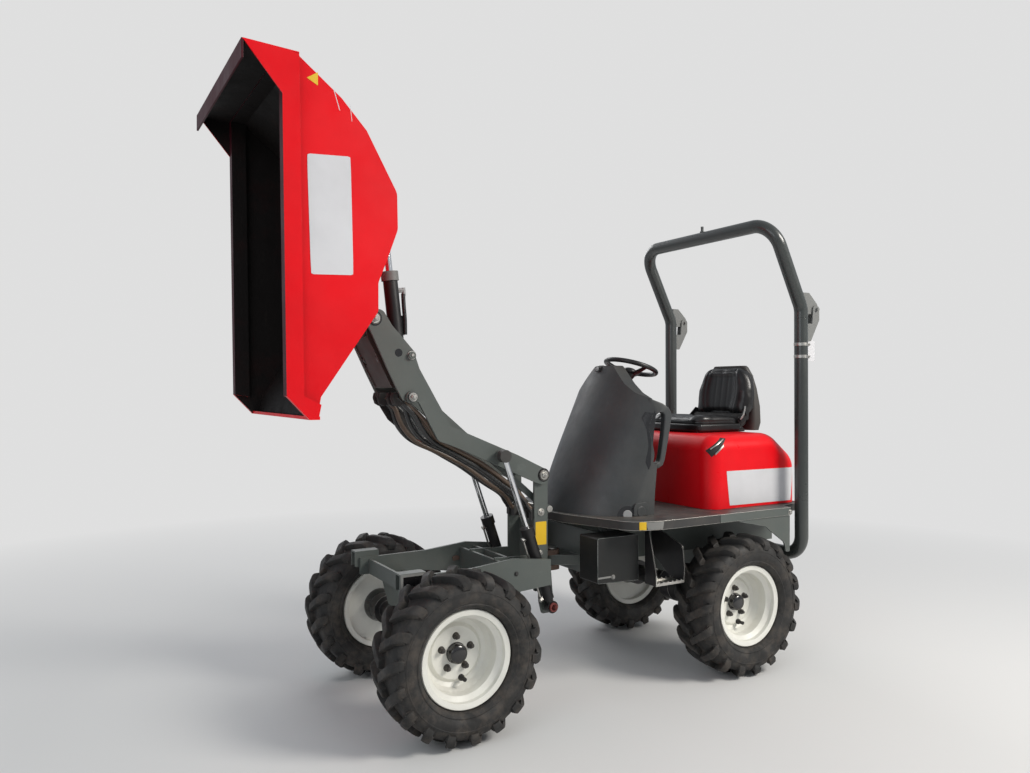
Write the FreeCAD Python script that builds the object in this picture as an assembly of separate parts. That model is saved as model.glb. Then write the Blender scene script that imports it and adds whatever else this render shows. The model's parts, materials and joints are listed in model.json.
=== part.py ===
import FreeCAD
import Part
import math
import os

# Articulated four-wheel site dumper with a high-tip skip, in millimetres.
# X points forward, Y to the left and Z up. The drawing frame has its origin on
# the ground, midway between the axles; the finished model is moved along X so
# that its origin is on the ground under the middle of the overall length.
# The rest pose is the arm raised and the skip tipped.

# Wheels and axles
WHEELBASE = 1714.0
TRACK = 1010.0
TYRE_RADIUS = 380.0
TYRE_WIDTH = 264.0
LUG_DEPTH = 30.0
LUG_COUNT = 18
LUG_WIDTH = 40.0
LUG_SWEEP = 92.0
LUG_NOSE = 8.0
LUG_FLARE = 8.0
LUG_FOOT_DROP = 70.0
TYRE_FACETS = 22
BEAD_RADIUS = 200.0
RIM_WIDTH = 184.0
RIM_FLANGE_RADIUS = 219.0
RIM_WALL = 9.0
DISC_OFFSET = -26.0
DISC_WALL = 10.0
DISC_FLAT_RADIUS = 118.0
HUB_RADIUS = 76.0
HUB_DEPTH = 60.0
HUB_CAP_RADIUS = 34.0
HUB_CAP_LENGTH = 40.0
NUT_CIRCLE_RADIUS = 75.0
NUT_RADIUS = 11.0
NUT_COUNT = 5
AXLE_HEIGHT = 380.0
FRONT_AXLE_X = WHEELBASE / 2
REAR_AXLE_X = -WHEELBASE / 2
AXLE_TUBE_RADIUS = 48.0
SPINDLE_RADIUS = 24.0
SPINDLE_LENGTH = 40.0
AXLE_HOUSING_RADIUS = 98.0
AXLE_HOUSING_LENGTH = 190.0

# Frame pivot and steering
PIVOT_X = 40.0
PIVOT_HEIGHT = 627.0
PIVOT_PIN_RADIUS = 20.0
PIVOT_EAR_RADIUS = 46.0
TONGUE_THICKNESS = 54.0
EAR_THICKNESS = 26.0

# Arm linkage, positions of the pins as (x, z)
ARM_PIVOT = (190.0, 1108.0)
SKIP_PIVOT = (1118.0, 1889.0)
LEVEL_BAR_PIVOT = (140.0, 925.0)
LIFT_BASE = (178.0, 432.0)
LIFT_EYE = (455.0, 1222.0)
TILT_BASE_OFFSET = (-183.0, -170.0)
TILT_EYE_OFFSET = (-93.0, 630.0)
LIFT_RANGE = 50.0
TILT_RANGE = 90.0
ARM_OUTSIDE = 162.5
ARM_PLATE = 15.0
ARM_PIN_RADIUS = 19.0
LEVEL_BAR_OUTSIDE = 97.0
LEVEL_BAR_PLATE = 12.0
LEVEL_BAR_HEIGHT = 32.0
LEVEL_PIN_RADIUS = 10.0
CHEEK_OUTSIDE = 117.0
CHEEK_PLATE = 12.0
SKIP_LUG_OUTSIDE = 142.0
SKIP_LUG_PLATE = 20.0
PIN_CLEARANCE = 0.3
RUNNING_GAP = 1.0
LIFT_CYLINDER_Y = 214.5
LIFT_BARREL_RADIUS = 29.0
LIFT_ROD_STUB = 162.2
LIFT_ROD_FOOT = 92.1
LIFT_ROD_RADIUS = 15.0
LIFT_PIN_RADIUS = 16.0
TILT_BARREL_RADIUS = 36.0
TILT_ROD_STUB = 33.6
TILT_ROD_FOOT = 40.0
TILT_ROD_RADIUS = 17.0
TILT_PIN_RADIUS = 16.0
LIFT_EYE_RADIUS = 32.0
LIFT_NECK = 48.0
TILT_EYE_RADIUS = 28.0
TILT_NECK = 29.0
BARREL_BASE = 10.0
EYE_WIDTH = 36.0

# Front frame
MAST_REAR_X = 152.0
MAST_FRONT_X = 234.0
MAST_TOP = 1066.0
MAST_BOTTOM = 500.0
MAST_OUTSIDE = 142.0
MAST_PLATE = 14.0
RAIL_OUTSIDE = 272.0
RAIL_PLATE = 16.0
FRONT_OVERHANG = 183.0
FRONT_END_X = FRONT_AXLE_X + FRONT_OVERHANG
REST_REACH = 105.0
REST_LENGTH = 128.0

# Rear frame, deck and bodywork
DECK_TOP = 890.0
DECK_BAND = 45.0
DECK_PLATE = 6.0
DECK_HALF_WIDTH = 585.0
POST_TYRE_GAP = 75.0
POST_X = REAR_AXLE_X - TYRE_RADIUS - POST_TYRE_GAP
CHASSIS_RAIL_Y = 235.0
CHASSIS_RAIL_WIDTH = 50.0
CHASSIS_RAIL_TOP = 800.0
CHASSIS_RAIL_BOTTOM = 640.0
CHASSIS_FRONT_X = -75.0
CHASSIS_REAR_X = POST_X - 68.0
CHASSIS_FRONT_DROP = 67.0
AXLE_SEAT_TOP = 650.0
HITCH_REACH = 95.0
HOOD_FRONT_X = -700.0
HOOD_REAR_X = -1405.0
HOOD_TOP = 1300.0
HOOD_HALF_WIDTH = 458.0
HOOD_WALL = 7.0
HOOD_CORNER = 88.0
HOOD_BASE_GAP = 0.3
STEP_TYRE_GAP = 19.0
STEP_LENGTH = 180.0
STEP_OUTSIDE = 520.0
STEP_INSIDE = 430.0
STEP_HEIGHT = 547.0
STEP_PLATE = 6.0
STEP_TEETH = 6
TOOTH_HEIGHT = 16.0
TUBE_RADIUS = 38.0
POST_Y = 557.0
POST_BEND_Z = 1990.0
HOOP_TOP = (POST_X + 234.0, 2488.0)
HOOP_CORNER = 140.0
LOWER_CROSS_Z = 600.0
LOWER_CORNER = 110.0
HOOP_JOINT_Z = 1962.0
FOLD_PIVOT = (POST_X - 108.0, 2015.0)
FOLD_PIN_RADIUS = 9.0
BEACON_Y = 0.0
BEACON_RADIUS = 9.0
BEACON_LENGTH = 30.0
BEACON_SEAT = 5.0

# Skip, as it lies level, measured from its pivot
SKIP_HALF_WIDTH = 520.0
SKIP_WALL = 6.0
SKIP_PANEL_STEP = 20.0
SKIP_RIM_WIDTH = 52.0
SKIP_RIM_DEPTH = 70.0
GUARD_HEIGHT = 150.0
GUARD_LENGTH = 180.0

# Operator's place
SEAT_HALF_WIDTH = 235.0
COWL_WALL = 22.0
COWL_SIDE = 58.0
COWL_BEHIND = -620.0
COWL_REAR = (-352.0, -396.0)
COWL_KNEE_TOP = 1380.0
COWL_POCKET = [(-410, 1452), (-352, 1440, 20), (-318, 1402, 20), (-346, 1320, 60), (-350, 1210, 60),
               (-336, 1152, 16), (-410, 1168)]
COWL_POCKET_DEPTH = 30.0
COWL_ARCH = (-262.0, 908.0)
COWL_ARCH_RADIUS = 44.0
STEERING_CENTRE = (-518.0, 1684.0)
STEERING_RADIUS = 190.0
STEERING_RIM = 13.0
STEERING_TILT = 17.0
STEERING_DISH = 45.0


def vec(x, y, z):
    return FreeCAD.Vector(x, y, z)


def rounded_wire(corners, place):
    """Closed wire through corners (u, v, radius) with arcs at the corners."""
    count = len(corners)
    starts = []
    ends = []
    middles = []
    for i in range(count):
        u, v, radius = corners[i]
        pu, pv = corners[i - 1][0], corners[i - 1][1]
        nu, nv = corners[(i + 1) % count][0], corners[(i + 1) % count][1]
        if radius <= 0:
            starts.append((u, v))
            ends.append((u, v))
            middles.append(None)
            continue
        back = FreeCAD.Vector(pu - u, pv - v, 0).normalize()
        ahead = FreeCAD.Vector(nu - u, nv - v, 0).normalize()
        half = back.getAngle(ahead) / 2
        reach = radius / math.tan(half)
        bisector = (back + ahead).normalize()
        depth = radius / math.sin(half) - radius
        starts.append((u + back.x * reach, v + back.y * reach))
        ends.append((u + ahead.x * reach, v + ahead.y * reach))
        middles.append((u + bisector.x * depth, v + bisector.y * depth))
    edges = []
    for i in range(count):
        if middles[i] is not None:
            arc = Part.Arc(place(*starts[i]), place(*middles[i]), place(*ends[i]))
            edges.append(arc.toShape())
        a = place(*ends[i])
        b = place(*starts[(i + 1) % count])
        if a.distanceToPoint(b) > 1e-6:
            edges.append(Part.LineSegment(a, b).toShape())
    return Part.Wire(edges)


def corners_of(points, radius=0.0):
    return [(p[0], p[1], p[2] if len(p) > 2 else radius) for p in points]


def side_plate(points, y0, y1, radius=0.0):
    """Prism of an (x, z) outline between two Y planes."""
    wire = rounded_wire(corners_of(points, radius), lambda u, v: vec(u, y0, v))
    return Part.Face(wire).extrude(vec(0, y1 - y0, 0))


def flat_plate(points, z0, z1, radius=0.0):
    """Prism of an (x, y) outline between two heights."""
    wire = rounded_wire(corners_of(points, radius), lambda u, v: vec(u, v, z0))
    return Part.Face(wire).extrude(vec(0, 0, z1 - z0))


def cross_plate(points, x0, x1, radius=0.0):
    """Prism of a (y, z) outline between two X planes."""
    wire = rounded_wire(corners_of(points, radius), lambda u, v: vec(x0, u, v))
    return Part.Face(wire).extrude(vec(x1 - x0, 0, 0))


def box(x0, x1, y0, y1, z0, z1):
    return Part.makeBox(x1 - x0, y1 - y0, z1 - z0, vec(x0, y0, z0))


def rod(a, b, radius):
    a = vec(*a)
    b = vec(*b)
    return Part.makeCylinder(radius, (b - a).Length, a, b - a)


def cross_pin(x, z, radius, y0, y1):
    return rod((x, y0, z), (x, y1, z), radius)


def both_sides(shape):
    return [shape, shape.mirror(vec(0, 0, 0), vec(0, 1, 0))]


def fuse(shapes):
    first = shapes[0]
    if len(shapes) > 1:
        first = first.multiFuse(shapes[1:])
    return first.removeSplitter()


def bar_outline(a, b, half_height):
    """Four corners of a bar of an even height from pin a to pin b."""
    length = math.hypot(b[0] - a[0], b[1] - a[1])
    u = ((b[0] - a[0]) / length, (b[1] - a[1]) / length)
    n = (-u[1] * half_height, u[0] * half_height)
    return [(a[0] + n[0], a[1] + n[1]), (b[0] + n[0], b[1] + n[1]),
            (b[0] - n[0], b[1] - n[1]), (a[0] - n[0], a[1] - n[1])]


def link_bar(a, b, half_height, y0, y1, hole):
    """Flat bar with round ends and a hole at each pin."""
    body = side_plate(bar_outline(a, b, half_height), y0, y1)
    ends = [cross_pin(p[0], p[1], half_height, y0, y1) for p in (a, b)]
    solid = fuse([body] + ends)
    for p in (a, b):
        solid = solid.cut(cross_pin(p[0], p[1], hole, y0 - 1, y1 + 1))
    return solid


def pipe(points, bend, radius):
    """Round bar along straight runs joined by arcs of one bend radius."""
    edges = []
    last = vec(*points[0])
    for i in range(1, len(points) - 1):
        corner = vec(*points[i])
        back = (vec(*points[i - 1]) - corner).normalize()
        ahead = (vec(*points[i + 1]) - corner).normalize()
        half = back.getAngle(ahead) / 2
        size = bend[i - 1] if isinstance(bend, (list, tuple)) else bend
        reach = size / math.tan(half)
        start = corner + back * reach
        end = corner + ahead * reach
        middle = corner + (back + ahead).normalize() * (size / math.sin(half) - size)
        edges.append(Part.LineSegment(last, start).toShape())
        edges.append(Part.Arc(start, middle, end).toShape())
        last = end
    edges.append(Part.LineSegment(last, vec(*points[-1])).toShape())
    path = Part.Wire(edges)
    direction = vec(*points[1]) - vec(*points[0])
    ring = Part.Wire([Part.makeCircle(radius, vec(*points[0]), direction)])
    return path.makePipeShell([ring], True, False)


def ring_of(points, radius=0.0):
    """Solid of revolution about the Y axis from an (r, y) outline."""
    wire = rounded_wire(corners_of(points, radius), lambda r, y: vec(r, y, 0))
    return Part.Face(wire).revolve(vec(0, 0, 0), vec(0, 1, 0), 360)


# Wheels

def faceted_ring(outline, count):
    """Solid of flat faces round the Y axis from a closed (r, y) outline."""
    rings = []
    for i in range(count):
        angle = 2 * math.pi * i / count
        rings.append([vec(r * math.cos(angle), y, r * math.sin(angle)) for r, y in outline])
    faces = []
    for i in range(count):
        for j in range(len(outline)):
            k = (j + 1) % len(outline)
            corners = [rings[i][j], rings[i][k], rings[i - 1][k], rings[i - 1][j], rings[i][j]]
            faces.append(Part.Face(Part.makePolygon(corners)))
    skin = Part.makeShell(faces)
    skin.sewShape()
    solid = Part.Solid(skin)
    if solid.Volume < 0:
        solid.reverse()
    return solid


def lug(side):
    """Slanting tread lug at the top of the wheel, from near the middle out to its foot on the sidewall."""
    half = TYRE_WIDTH / 2
    nose_corner = (LUG_SWEEP + LUG_WIDTH) / 2
    top = math.sqrt(TYRE_RADIUS ** 2 - nose_corner ** 2)
    foot = TYRE_RADIUS - LUG_FOOT_DROP
    profile = [(-LUG_NOSE - 1, foot), (-LUG_NOSE - 1, top), (half - 30, top), (half, top - 32), (half - 14, foot)]
    block = cross_plate([(side * y, z) for y, z in profile], -TYRE_RADIUS / 2, TYRE_RADIUS / 2)
    nose = LUG_SWEEP / 2
    tail_half = LUG_WIDTH / 2 + LUG_FLARE
    plan = [(nose - LUG_WIDTH / 2, -side * LUG_NOSE), (nose + LUG_WIDTH / 2, -side * LUG_NOSE),
            (tail_half - nose, side * (half + 1)), (-tail_half - nose, side * (half + 1))]
    return block.common(flat_plate(plan, foot - 1, TYRE_RADIUS + 1))


def tyre():
    half = TYRE_WIDTH / 2
    tread = TYRE_RADIUS - LUG_DEPTH
    bead = RIM_WIDTH / 2 - RIM_WALL - PIN_CLEARANCE
    # The flats of the bead lie outside the rim's round seat and flange
    flat = math.cos(math.pi / TYRE_FACETS)
    # r, y of one half of the section: bead, sidewall, shoulder and crown
    section = [(BEAD_RADIUS / flat, bead), ((RIM_FLANGE_RADIUS + 2) / flat, bead),
               (RIM_FLANGE_RADIUS + 48, half - 6), (tread - 30, half - 10), (tread, half - 30)]
    outline = section + [(r, -y) for r, y in reversed(section)]
    pitch = 360.0 / LUG_COUNT
    shapes = []
    for side in (1, -1):
        for i in range(LUG_COUNT):
            turned = lug(side)
            turned.rotate(vec(0, 0, 0), vec(0, 1, 0), pitch * (i + side / 4.0))
            shapes.append(turned)
    body = faceted_ring(outline, TYRE_FACETS).multiFuse(shapes)
    # One nose corner points straight down, so the wheel stands on its full radius
    nose_corner = math.degrees(math.asin((LUG_SWEEP + LUG_WIDTH) / 2 / TYRE_RADIUS))
    body.rotate(vec(0, 0, 0), vec(0, 1, 0), 180 - pitch * (LUG_COUNT // 2 + 0.25) - nose_corner)
    return body


def rim():
    half = RIM_WIDTH / 2
    seat = BEAD_RADIUS - PIN_CLEARANCE
    inner = seat - RIM_WALL
    well = inner - 22
    disc = DISC_OFFSET
    # r, y from the hub hole over the outer face, round the barrel and back over the inner face
    return ring_of([
        (HUB_CAP_RADIUS + 10, disc), (DISC_FLAT_RADIUS, disc), (DISC_FLAT_RADIUS + 16, disc - 14),
        (well - 16, disc - 4), (well, disc + 26), (well, half - 46), (inner, half - 28), (inner, half - 6),
        (RIM_FLANGE_RADIUS - 4, half), (RIM_FLANGE_RADIUS, half - RIM_WALL), (seat, half - RIM_WALL),
        (seat, -half + RIM_WALL), (RIM_FLANGE_RADIUS, -half + RIM_WALL), (RIM_FLANGE_RADIUS - 4, -half),
        (inner, -half + 6), (inner, disc - 30), (well - 20, disc - 22), (DISC_FLAT_RADIUS, disc - DISC_WALL - 8),
        (DISC_FLAT_RADIUS - 30, disc - DISC_WALL), (HUB_CAP_RADIUS + 10, disc - DISC_WALL)])


def hub():
    disc = DISC_OFFSET
    foot = disc - HUB_DEPTH
    bore = SPINDLE_RADIUS + PIN_CLEARANCE
    bore_end = foot + SPINDLE_LENGTH + RUNNING_GAP
    body = ring_of([
        (0, bore_end), (bore, bore_end), (bore, foot), (HUB_RADIUS, foot), (HUB_RADIUS + 12, disc - 30),
        (HUB_RADIUS + 12, disc - DISC_WALL - PIN_CLEARANCE),
        (HUB_CAP_RADIUS + 9, disc - DISC_WALL - PIN_CLEARANCE), (HUB_CAP_RADIUS + 9, disc + 4),
        (HUB_CAP_RADIUS, disc + 6), (HUB_CAP_RADIUS, disc + HUB_CAP_LENGTH - 8),
        (HUB_CAP_RADIUS - 8, disc + HUB_CAP_LENGTH), (0, disc + HUB_CAP_LENGTH)])
    return body


def wheel_nuts():
    nuts = []
    for i in range(NUT_COUNT):
        angle = math.radians(90 + 360.0 * i / NUT_COUNT)
        x = NUT_CIRCLE_RADIUS * math.cos(angle)
        z = NUT_CIRCLE_RADIUS * math.sin(angle)
        nuts.append(cross_pin(x, z, NUT_RADIUS, DISC_OFFSET + PIN_CLEARANCE, DISC_OFFSET + 20))
    return nuts


def axle(x):
    end = TRACK / 2 + DISC_OFFSET - HUB_DEPTH - RUNNING_GAP
    tube = cross_pin(x, AXLE_HEIGHT, AXLE_TUBE_RADIUS, -end, end)
    reach = end + SPINDLE_LENGTH
    spindle = cross_pin(x, AXLE_HEIGHT, SPINDLE_RADIUS, -reach, reach)
    drums = both_sides(cross_pin(x, AXLE_HEIGHT, HUB_RADIUS, end - 75, end))
    housing = ring_of([
        (0, -AXLE_HOUSING_LENGTH / 2), (60, -AXLE_HOUSING_LENGTH / 2),
        (AXLE_HOUSING_RADIUS, -AXLE_HOUSING_LENGTH / 5), (AXLE_HOUSING_RADIUS, AXLE_HOUSING_LENGTH / 5),
        (60, AXLE_HOUSING_LENGTH / 2), (0, AXLE_HOUSING_LENGTH / 2)])
    housing.translate(vec(x, 0, AXLE_HEIGHT))
    return fuse([tube, spindle, housing] + drums)


# Front frame

def front_frame():
    rail_points = [
        (215, 560), (215, 690), (433, 716), (FRONT_AXLE_X - 194, 694), (FRONT_END_X, 690),
        (FRONT_END_X, 605), (FRONT_AXLE_X - 157, 590), (399, 548)]
    parts = []
    for s in (1, -1):
        parts.append(side_plate(rail_points, s * (RAIL_OUTSIDE - RAIL_PLATE), s * RAIL_OUTSIDE))
    span = RAIL_OUTSIDE - RAIL_PLATE / 2
    # Inner plates carry the mast between the lift cylinders
    for s in (1, -1):
        y0 = s * (MAST_OUTSIDE - MAST_PLATE)
        y1 = s * MAST_OUTSIDE
        back = MAST_FRONT_X + PIN_CLEARANCE
        parts.append(side_plate([(back, 555), (back, 690), (470, 700), (470, 575)], y0, y1))
    for x in (372, 454):
        parts.append(box(x, x + 16, -span, span, 575, 690))
    parts.append(box(FRONT_END_X - 60, FRONT_END_X - 46, -span, span, 605, 680))
    # Axle seat: two cross plates down to the axle tube
    for x in (FRONT_AXLE_X - 62, FRONT_AXLE_X + 46):
        outline = [(-span, 600), (span, 600), (span, 560), (150, AXLE_HEIGHT + 40), (-150, AXLE_HEIGHT + 40),
                   (-span, 560)]
        parts.append(cross_plate(outline, x, x + 16))
    frame = fuse(parts + skip_rests())
    return frame.cut(cross_pin(FRONT_AXLE_X, AXLE_HEIGHT, AXLE_HOUSING_RADIUS + PIN_CLEARANCE, -200, 200))


def mast():
    """Welded mast with the ears of the frame pivot and the clevises of the lift cylinders."""
    x, z = ARM_PIVOT
    lx, lz = LEVEL_BAR_PIVOT
    outline = [
        (MAST_REAR_X, MAST_BOTTOM, 8), (MAST_REAR_X, lz - 22), (lx, lz - 22, 20), (lx - 22, lz, 20),
        (lx, lz + 22, 20), (MAST_REAR_X, lz + 22), (MAST_REAR_X, z - 10), (x - 42, z + 20, 30), (x, z + 42, 30),
        (x + 42, z + 20, 30), (MAST_FRONT_X, MAST_TOP), (MAST_FRONT_X, MAST_BOTTOM, 8)]
    parts = []
    for s in (1, -1):
        parts.append(side_plate(outline, s * (MAST_OUTSIDE - MAST_PLATE), s * MAST_OUTSIDE))
    span = MAST_OUTSIDE - MAST_PLATE / 2
    parts.append(box(MAST_REAR_X, MAST_REAR_X + MAST_PLATE, -span, span, MAST_BOTTOM, 850))
    for low in (PIVOT_HEIGHT + TONGUE_THICKNESS / 2 + RUNNING_GAP,
                PIVOT_HEIGHT - TONGUE_THICKNESS / 2 - RUNNING_GAP - EAR_THICKNESS):
        high = low + EAR_THICKNESS
        parts.append(box(PIVOT_X, MAST_REAR_X + 5, -PIVOT_EAR_RADIUS, PIVOT_EAR_RADIUS, low, high))
        parts.append(rod((PIVOT_X, 0, low), (PIVOT_X, 0, high), PIVOT_EAR_RADIUS))
    bx, bz = LIFT_BASE
    for s in (1, -1):
        inner = s * (MAST_OUTSIDE + 20)
        outer = s * (MAST_OUTSIDE + 34)
        seat = s * (LIFT_CYLINDER_Y - EYE_WIDTH / 2 - RUNNING_GAP)
        end = s * (LIFT_CYLINDER_Y + EYE_WIDTH / 2 + 12)
        parts.append(side_plate([
            (bx - 40, bz - 10, 8), (bx - 26, bz - 42, 8), (bx + 30, bz - 42, 8), (bx + 46, bz + 20, 8),
            (bx + 52, 598), (bx - 26, 598)], inner, outer))
        parts.append(box(bx - 26, bx + 50, min(s * (MAST_OUTSIDE - 4), outer), max(s * (MAST_OUTSIDE - 4), outer),
                         540, 598))
        parts.append(cross_pin(bx, bz, 26, outer - s, seat))
        parts.append(cross_pin(bx, bz, LIFT_PIN_RADIUS, outer - s, end))
    body = fuse(parts)
    low = PIVOT_HEIGHT - TONGUE_THICKNESS / 2 - RUNNING_GAP - EAR_THICKNESS
    high = PIVOT_HEIGHT + TONGUE_THICKNESS / 2 + RUNNING_GAP + EAR_THICKNESS
    body = body.cut(rod((PIVOT_X, 0, low - 5), (PIVOT_X, 0, high + 5), PIVOT_PIN_RADIUS + PIN_CLEARANCE))
    body = body.cut(cross_pin(x, z, ARM_PIN_RADIUS + PIN_CLEARANCE, -200, 200))
    return body.cut(cross_pin(lx, lz, LEVEL_PIN_RADIUS + PIN_CLEARANCE, -200, 200))


def pivot_pin():
    low = PIVOT_HEIGHT - TONGUE_THICKNESS / 2 - RUNNING_GAP - EAR_THICKNESS
    high = PIVOT_HEIGHT + TONGUE_THICKNESS / 2 + RUNNING_GAP + EAR_THICKNESS
    pin = rod((PIVOT_X, 0, low - 8), (PIVOT_X, 0, high), PIVOT_PIN_RADIUS)
    cap = rod((PIVOT_X, 0, high + PIN_CLEARANCE), (PIVOT_X, 0, high + 10), PIVOT_PIN_RADIUS + 14)
    return fuse([pin, rod((PIVOT_X, 0, high - 1), (PIVOT_X, 0, high + 1), PIVOT_PIN_RADIUS), cap])


def skip_rests():
    """Inverted channel brackets outside the rails, on which the lowered skip lies."""
    parts = []
    x0 = FRONT_END_X - REST_REACH
    x1 = x0 + REST_LENGTH
    for s in (1, -1):
        y0 = s * (RAIL_OUTSIDE - 2)
        y1 = s * (RAIL_OUTSIDE + 8)
        outside = s * (RAIL_OUTSIDE + 60)
        upright = side_plate([(x0, 620), (x0, 722, 6), (x1, 722, 6), (x1, 644)], y0, y1)
        top = box(x0, x1, min(y1, outside), max(y1, outside), 714, 722)
        outer = box(x0, x1, min(s * (RAIL_OUTSIDE + 52), outside), max(s * (RAIL_OUTSIDE + 52), outside), 644, 722)
        parts.append(fuse([upright, top, outer]))
    return parts


# Arm, levelling links and cylinders

def lift_arm():
    outline = [
        (150, 1092, 30), (160, 1131, 30), (345, 1219, 60), (655, 1347, 60), (727, 1378, 30),
        (800, 1500, 60), (892, 1656, 30), (922, 1742, 20), (997, 1824, 20), (1030, 1858, 20),
        (1078, 1932, 40), (1126, 1934, 30), (1168, 1895, 30), (1118, 1789, 60), (1044, 1635, 60),
        (975, 1498, 34), (898, 1500, 24), (859, 1429, 40), (792, 1307, 30), (680, 1265, 60), (403, 1144, 60),
        (234, 1070, 30), (190, 1056, 30)]
    inside = ARM_OUTSIDE - ARM_PLATE
    parts = []
    for s in (1, -1):
        parts.append(side_plate(outline, s * inside, s * ARM_OUTSIDE))
        eye_end = LIFT_CYLINDER_Y - EYE_WIDTH / 2 - 2 * RUNNING_GAP
        parts.append(cross_pin(LIFT_EYE[0], LIFT_EYE[1], 26, s * (ARM_OUTSIDE - 2), s * eye_end))
        for x, z, radius, length in ((935, 1719, 17, 16), (933, 1521, 22, 20)):
            parts.append(cross_pin(x, z, radius, s * (ARM_OUTSIDE - 2), s * (ARM_OUTSIDE + length)))
    # Cross plate below the bend, clear of the levelling bars under it
    top = [(828, 1547), (874, 1626), (882, 1621.4), (836, 1542.4)]
    parts.append(side_plate(top, -inside - 2, inside + 2))
    for s in (1, -1):
        parts.append(cross_pin(ARM_PIVOT[0], ARM_PIVOT[1], 34, s * (MAST_OUTSIDE + RUNNING_GAP), s * (inside + 2)))
    body = fuse(parts)
    for p in (ARM_PIVOT, SKIP_PIVOT):
        body = body.cut(cross_pin(p[0], p[1], ARM_PIN_RADIUS + PIN_CLEARANCE, -200, 200))
    body = body.cut(cross_pin(1000, 1732, 9, -200, 200))
    return body


def arm_pins():
    pins = []
    for x, z in (ARM_PIVOT, SKIP_PIVOT):
        shaft = cross_pin(x, z, ARM_PIN_RADIUS, -ARM_OUTSIDE - 6, ARM_OUTSIDE + 6)
        heads = both_sides(cross_pin(x, z, ARM_PIN_RADIUS + 9, ARM_OUTSIDE + PIN_CLEARANCE, ARM_OUTSIDE + 8))
        pins.append(fuse([shaft] + heads))
    return pins


def level_bars():
    far = (SKIP_PIVOT[0] + LEVEL_BAR_PIVOT[0] - ARM_PIVOT[0], SKIP_PIVOT[1] + LEVEL_BAR_PIVOT[1] - ARM_PIVOT[1])
    bars = []
    for s in (1, -1):
        y0 = s * (LEVEL_BAR_OUTSIDE - LEVEL_BAR_PLATE)
        bars.append(link_bar(LEVEL_BAR_PIVOT, far, LEVEL_BAR_HEIGHT / 2, min(y0, s * LEVEL_BAR_OUTSIDE),
                             max(y0, s * LEVEL_BAR_OUTSIDE), LEVEL_PIN_RADIUS + PIN_CLEARANCE))
    return bars


def mast_pins():
    x, z = LEVEL_BAR_PIVOT
    shaft = cross_pin(x, z, LEVEL_PIN_RADIUS, -MAST_OUTSIDE - 2, MAST_OUTSIDE + 2)
    heads = both_sides(cross_pin(x, z, LEVEL_PIN_RADIUS + 7, MAST_OUTSIDE + PIN_CLEARANCE, MAST_OUTSIDE + 5))
    return [pivot_pin(), fuse([shaft] + heads)]


def carrier():
    """Link head at the arm's tip, kept level by the bars; it carries the tilt cylinder."""
    x, z = SKIP_PIVOT
    ex = x + LEVEL_BAR_PIVOT[0] - ARM_PIVOT[0]
    ez = z + LEVEL_BAR_PIVOT[1] - ARM_PIVOT[1]
    bx = x + TILT_BASE_OFFSET[0]
    bz = z + TILT_BASE_OFFSET[1]
    # Front plate that closes the head toward the skip
    front_top = (x + 14, z - 84)
    front_foot = (x - 108, z - 324)
    outline = [(x + 32, z + 6, 24), (x - 2, z + 38, 24), (x - 40, z + 6, 24), (ex - 34, ez + 4, 26),
               (front_foot[0] - 24, front_foot[1], 6), (front_foot[0] + 6, front_foot[1], 6),
               (front_top[0] + 6, front_top[1])]
    parts = []
    for s in (1, -1):
        parts.append(side_plate(outline, s * (CHEEK_OUTSIDE - CHEEK_PLATE), s * CHEEK_OUTSIDE))
        parts.append(cross_pin(ex, ez, LEVEL_PIN_RADIUS, s * (LEVEL_BAR_OUTSIDE - LEVEL_BAR_PLATE - 3),
                               s * (CHEEK_OUTSIDE - 4)))
    span = CHEEK_OUTSIDE - 3
    parts.append(side_plate([front_top, front_foot, (front_foot[0] - 11, front_foot[1] + 6),
                             (front_top[0] - 11, front_top[1] + 6)], -span, span))
    # Clevis of the tilt cylinder on the front plate
    for s in (1, -1):
        inner = s * (EYE_WIDTH / 2 + RUNNING_GAP)
        parts.append(side_plate([
            (bx - 26, bz + 10, 20), (bx, bz + 26, 20), (x - 30, z - 150), (x - 42, z - 190),
            (x - 94, z - 290), (x - 110, z - 290, 10), (bx - 14, bz - 24, 20)], inner, inner + 14 * s))
    parts.append(cross_pin(bx, bz, TILT_PIN_RADIUS, -EYE_WIDTH / 2 - 16, EYE_WIDTH / 2 + 16))
    body = fuse(parts)
    # The front plate is notched around the ends of the levelling bars
    bar_back = (ex - 0.1 * (x - ARM_PIVOT[0]), ez - 0.1 * (z - ARM_PIVOT[1]))
    reach = LEVEL_BAR_HEIGHT / 2 + 5
    for s in (1, -1):
        y0 = s * (LEVEL_BAR_OUTSIDE - LEVEL_BAR_PLATE - 4)
        y1 = s * (CHEEK_OUTSIDE - CHEEK_PLATE)
        notch = fuse([cross_pin(ex, ez, reach, y0, y1), side_plate(bar_outline((ex, ez), bar_back, reach), y0, y1)])
        pin = cross_pin(ex, ez, LEVEL_PIN_RADIUS, s * (LEVEL_BAR_OUTSIDE - LEVEL_BAR_PLATE - 3),
                        s * (CHEEK_OUTSIDE - CHEEK_PLATE + 2))
        body = fuse([body.cut(notch), pin])
    return body.cut(cross_pin(x, z, ARM_PIN_RADIUS + PIN_CLEARANCE, -200, 200))


def closed_reach(base, eye, pivot, degrees):
    """Distance between a cylinder's pins once its eye has turned about the pivot to the closed end."""
    angle = math.radians(degrees)
    dx = eye[0] - pivot[0]
    dz = eye[1] - pivot[1]
    x = pivot[0] + dx * math.cos(angle) + dz * math.sin(angle)
    z = pivot[1] - dx * math.sin(angle) + dz * math.cos(angle)
    return math.hypot(x - base[0], z - base[1])


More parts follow.
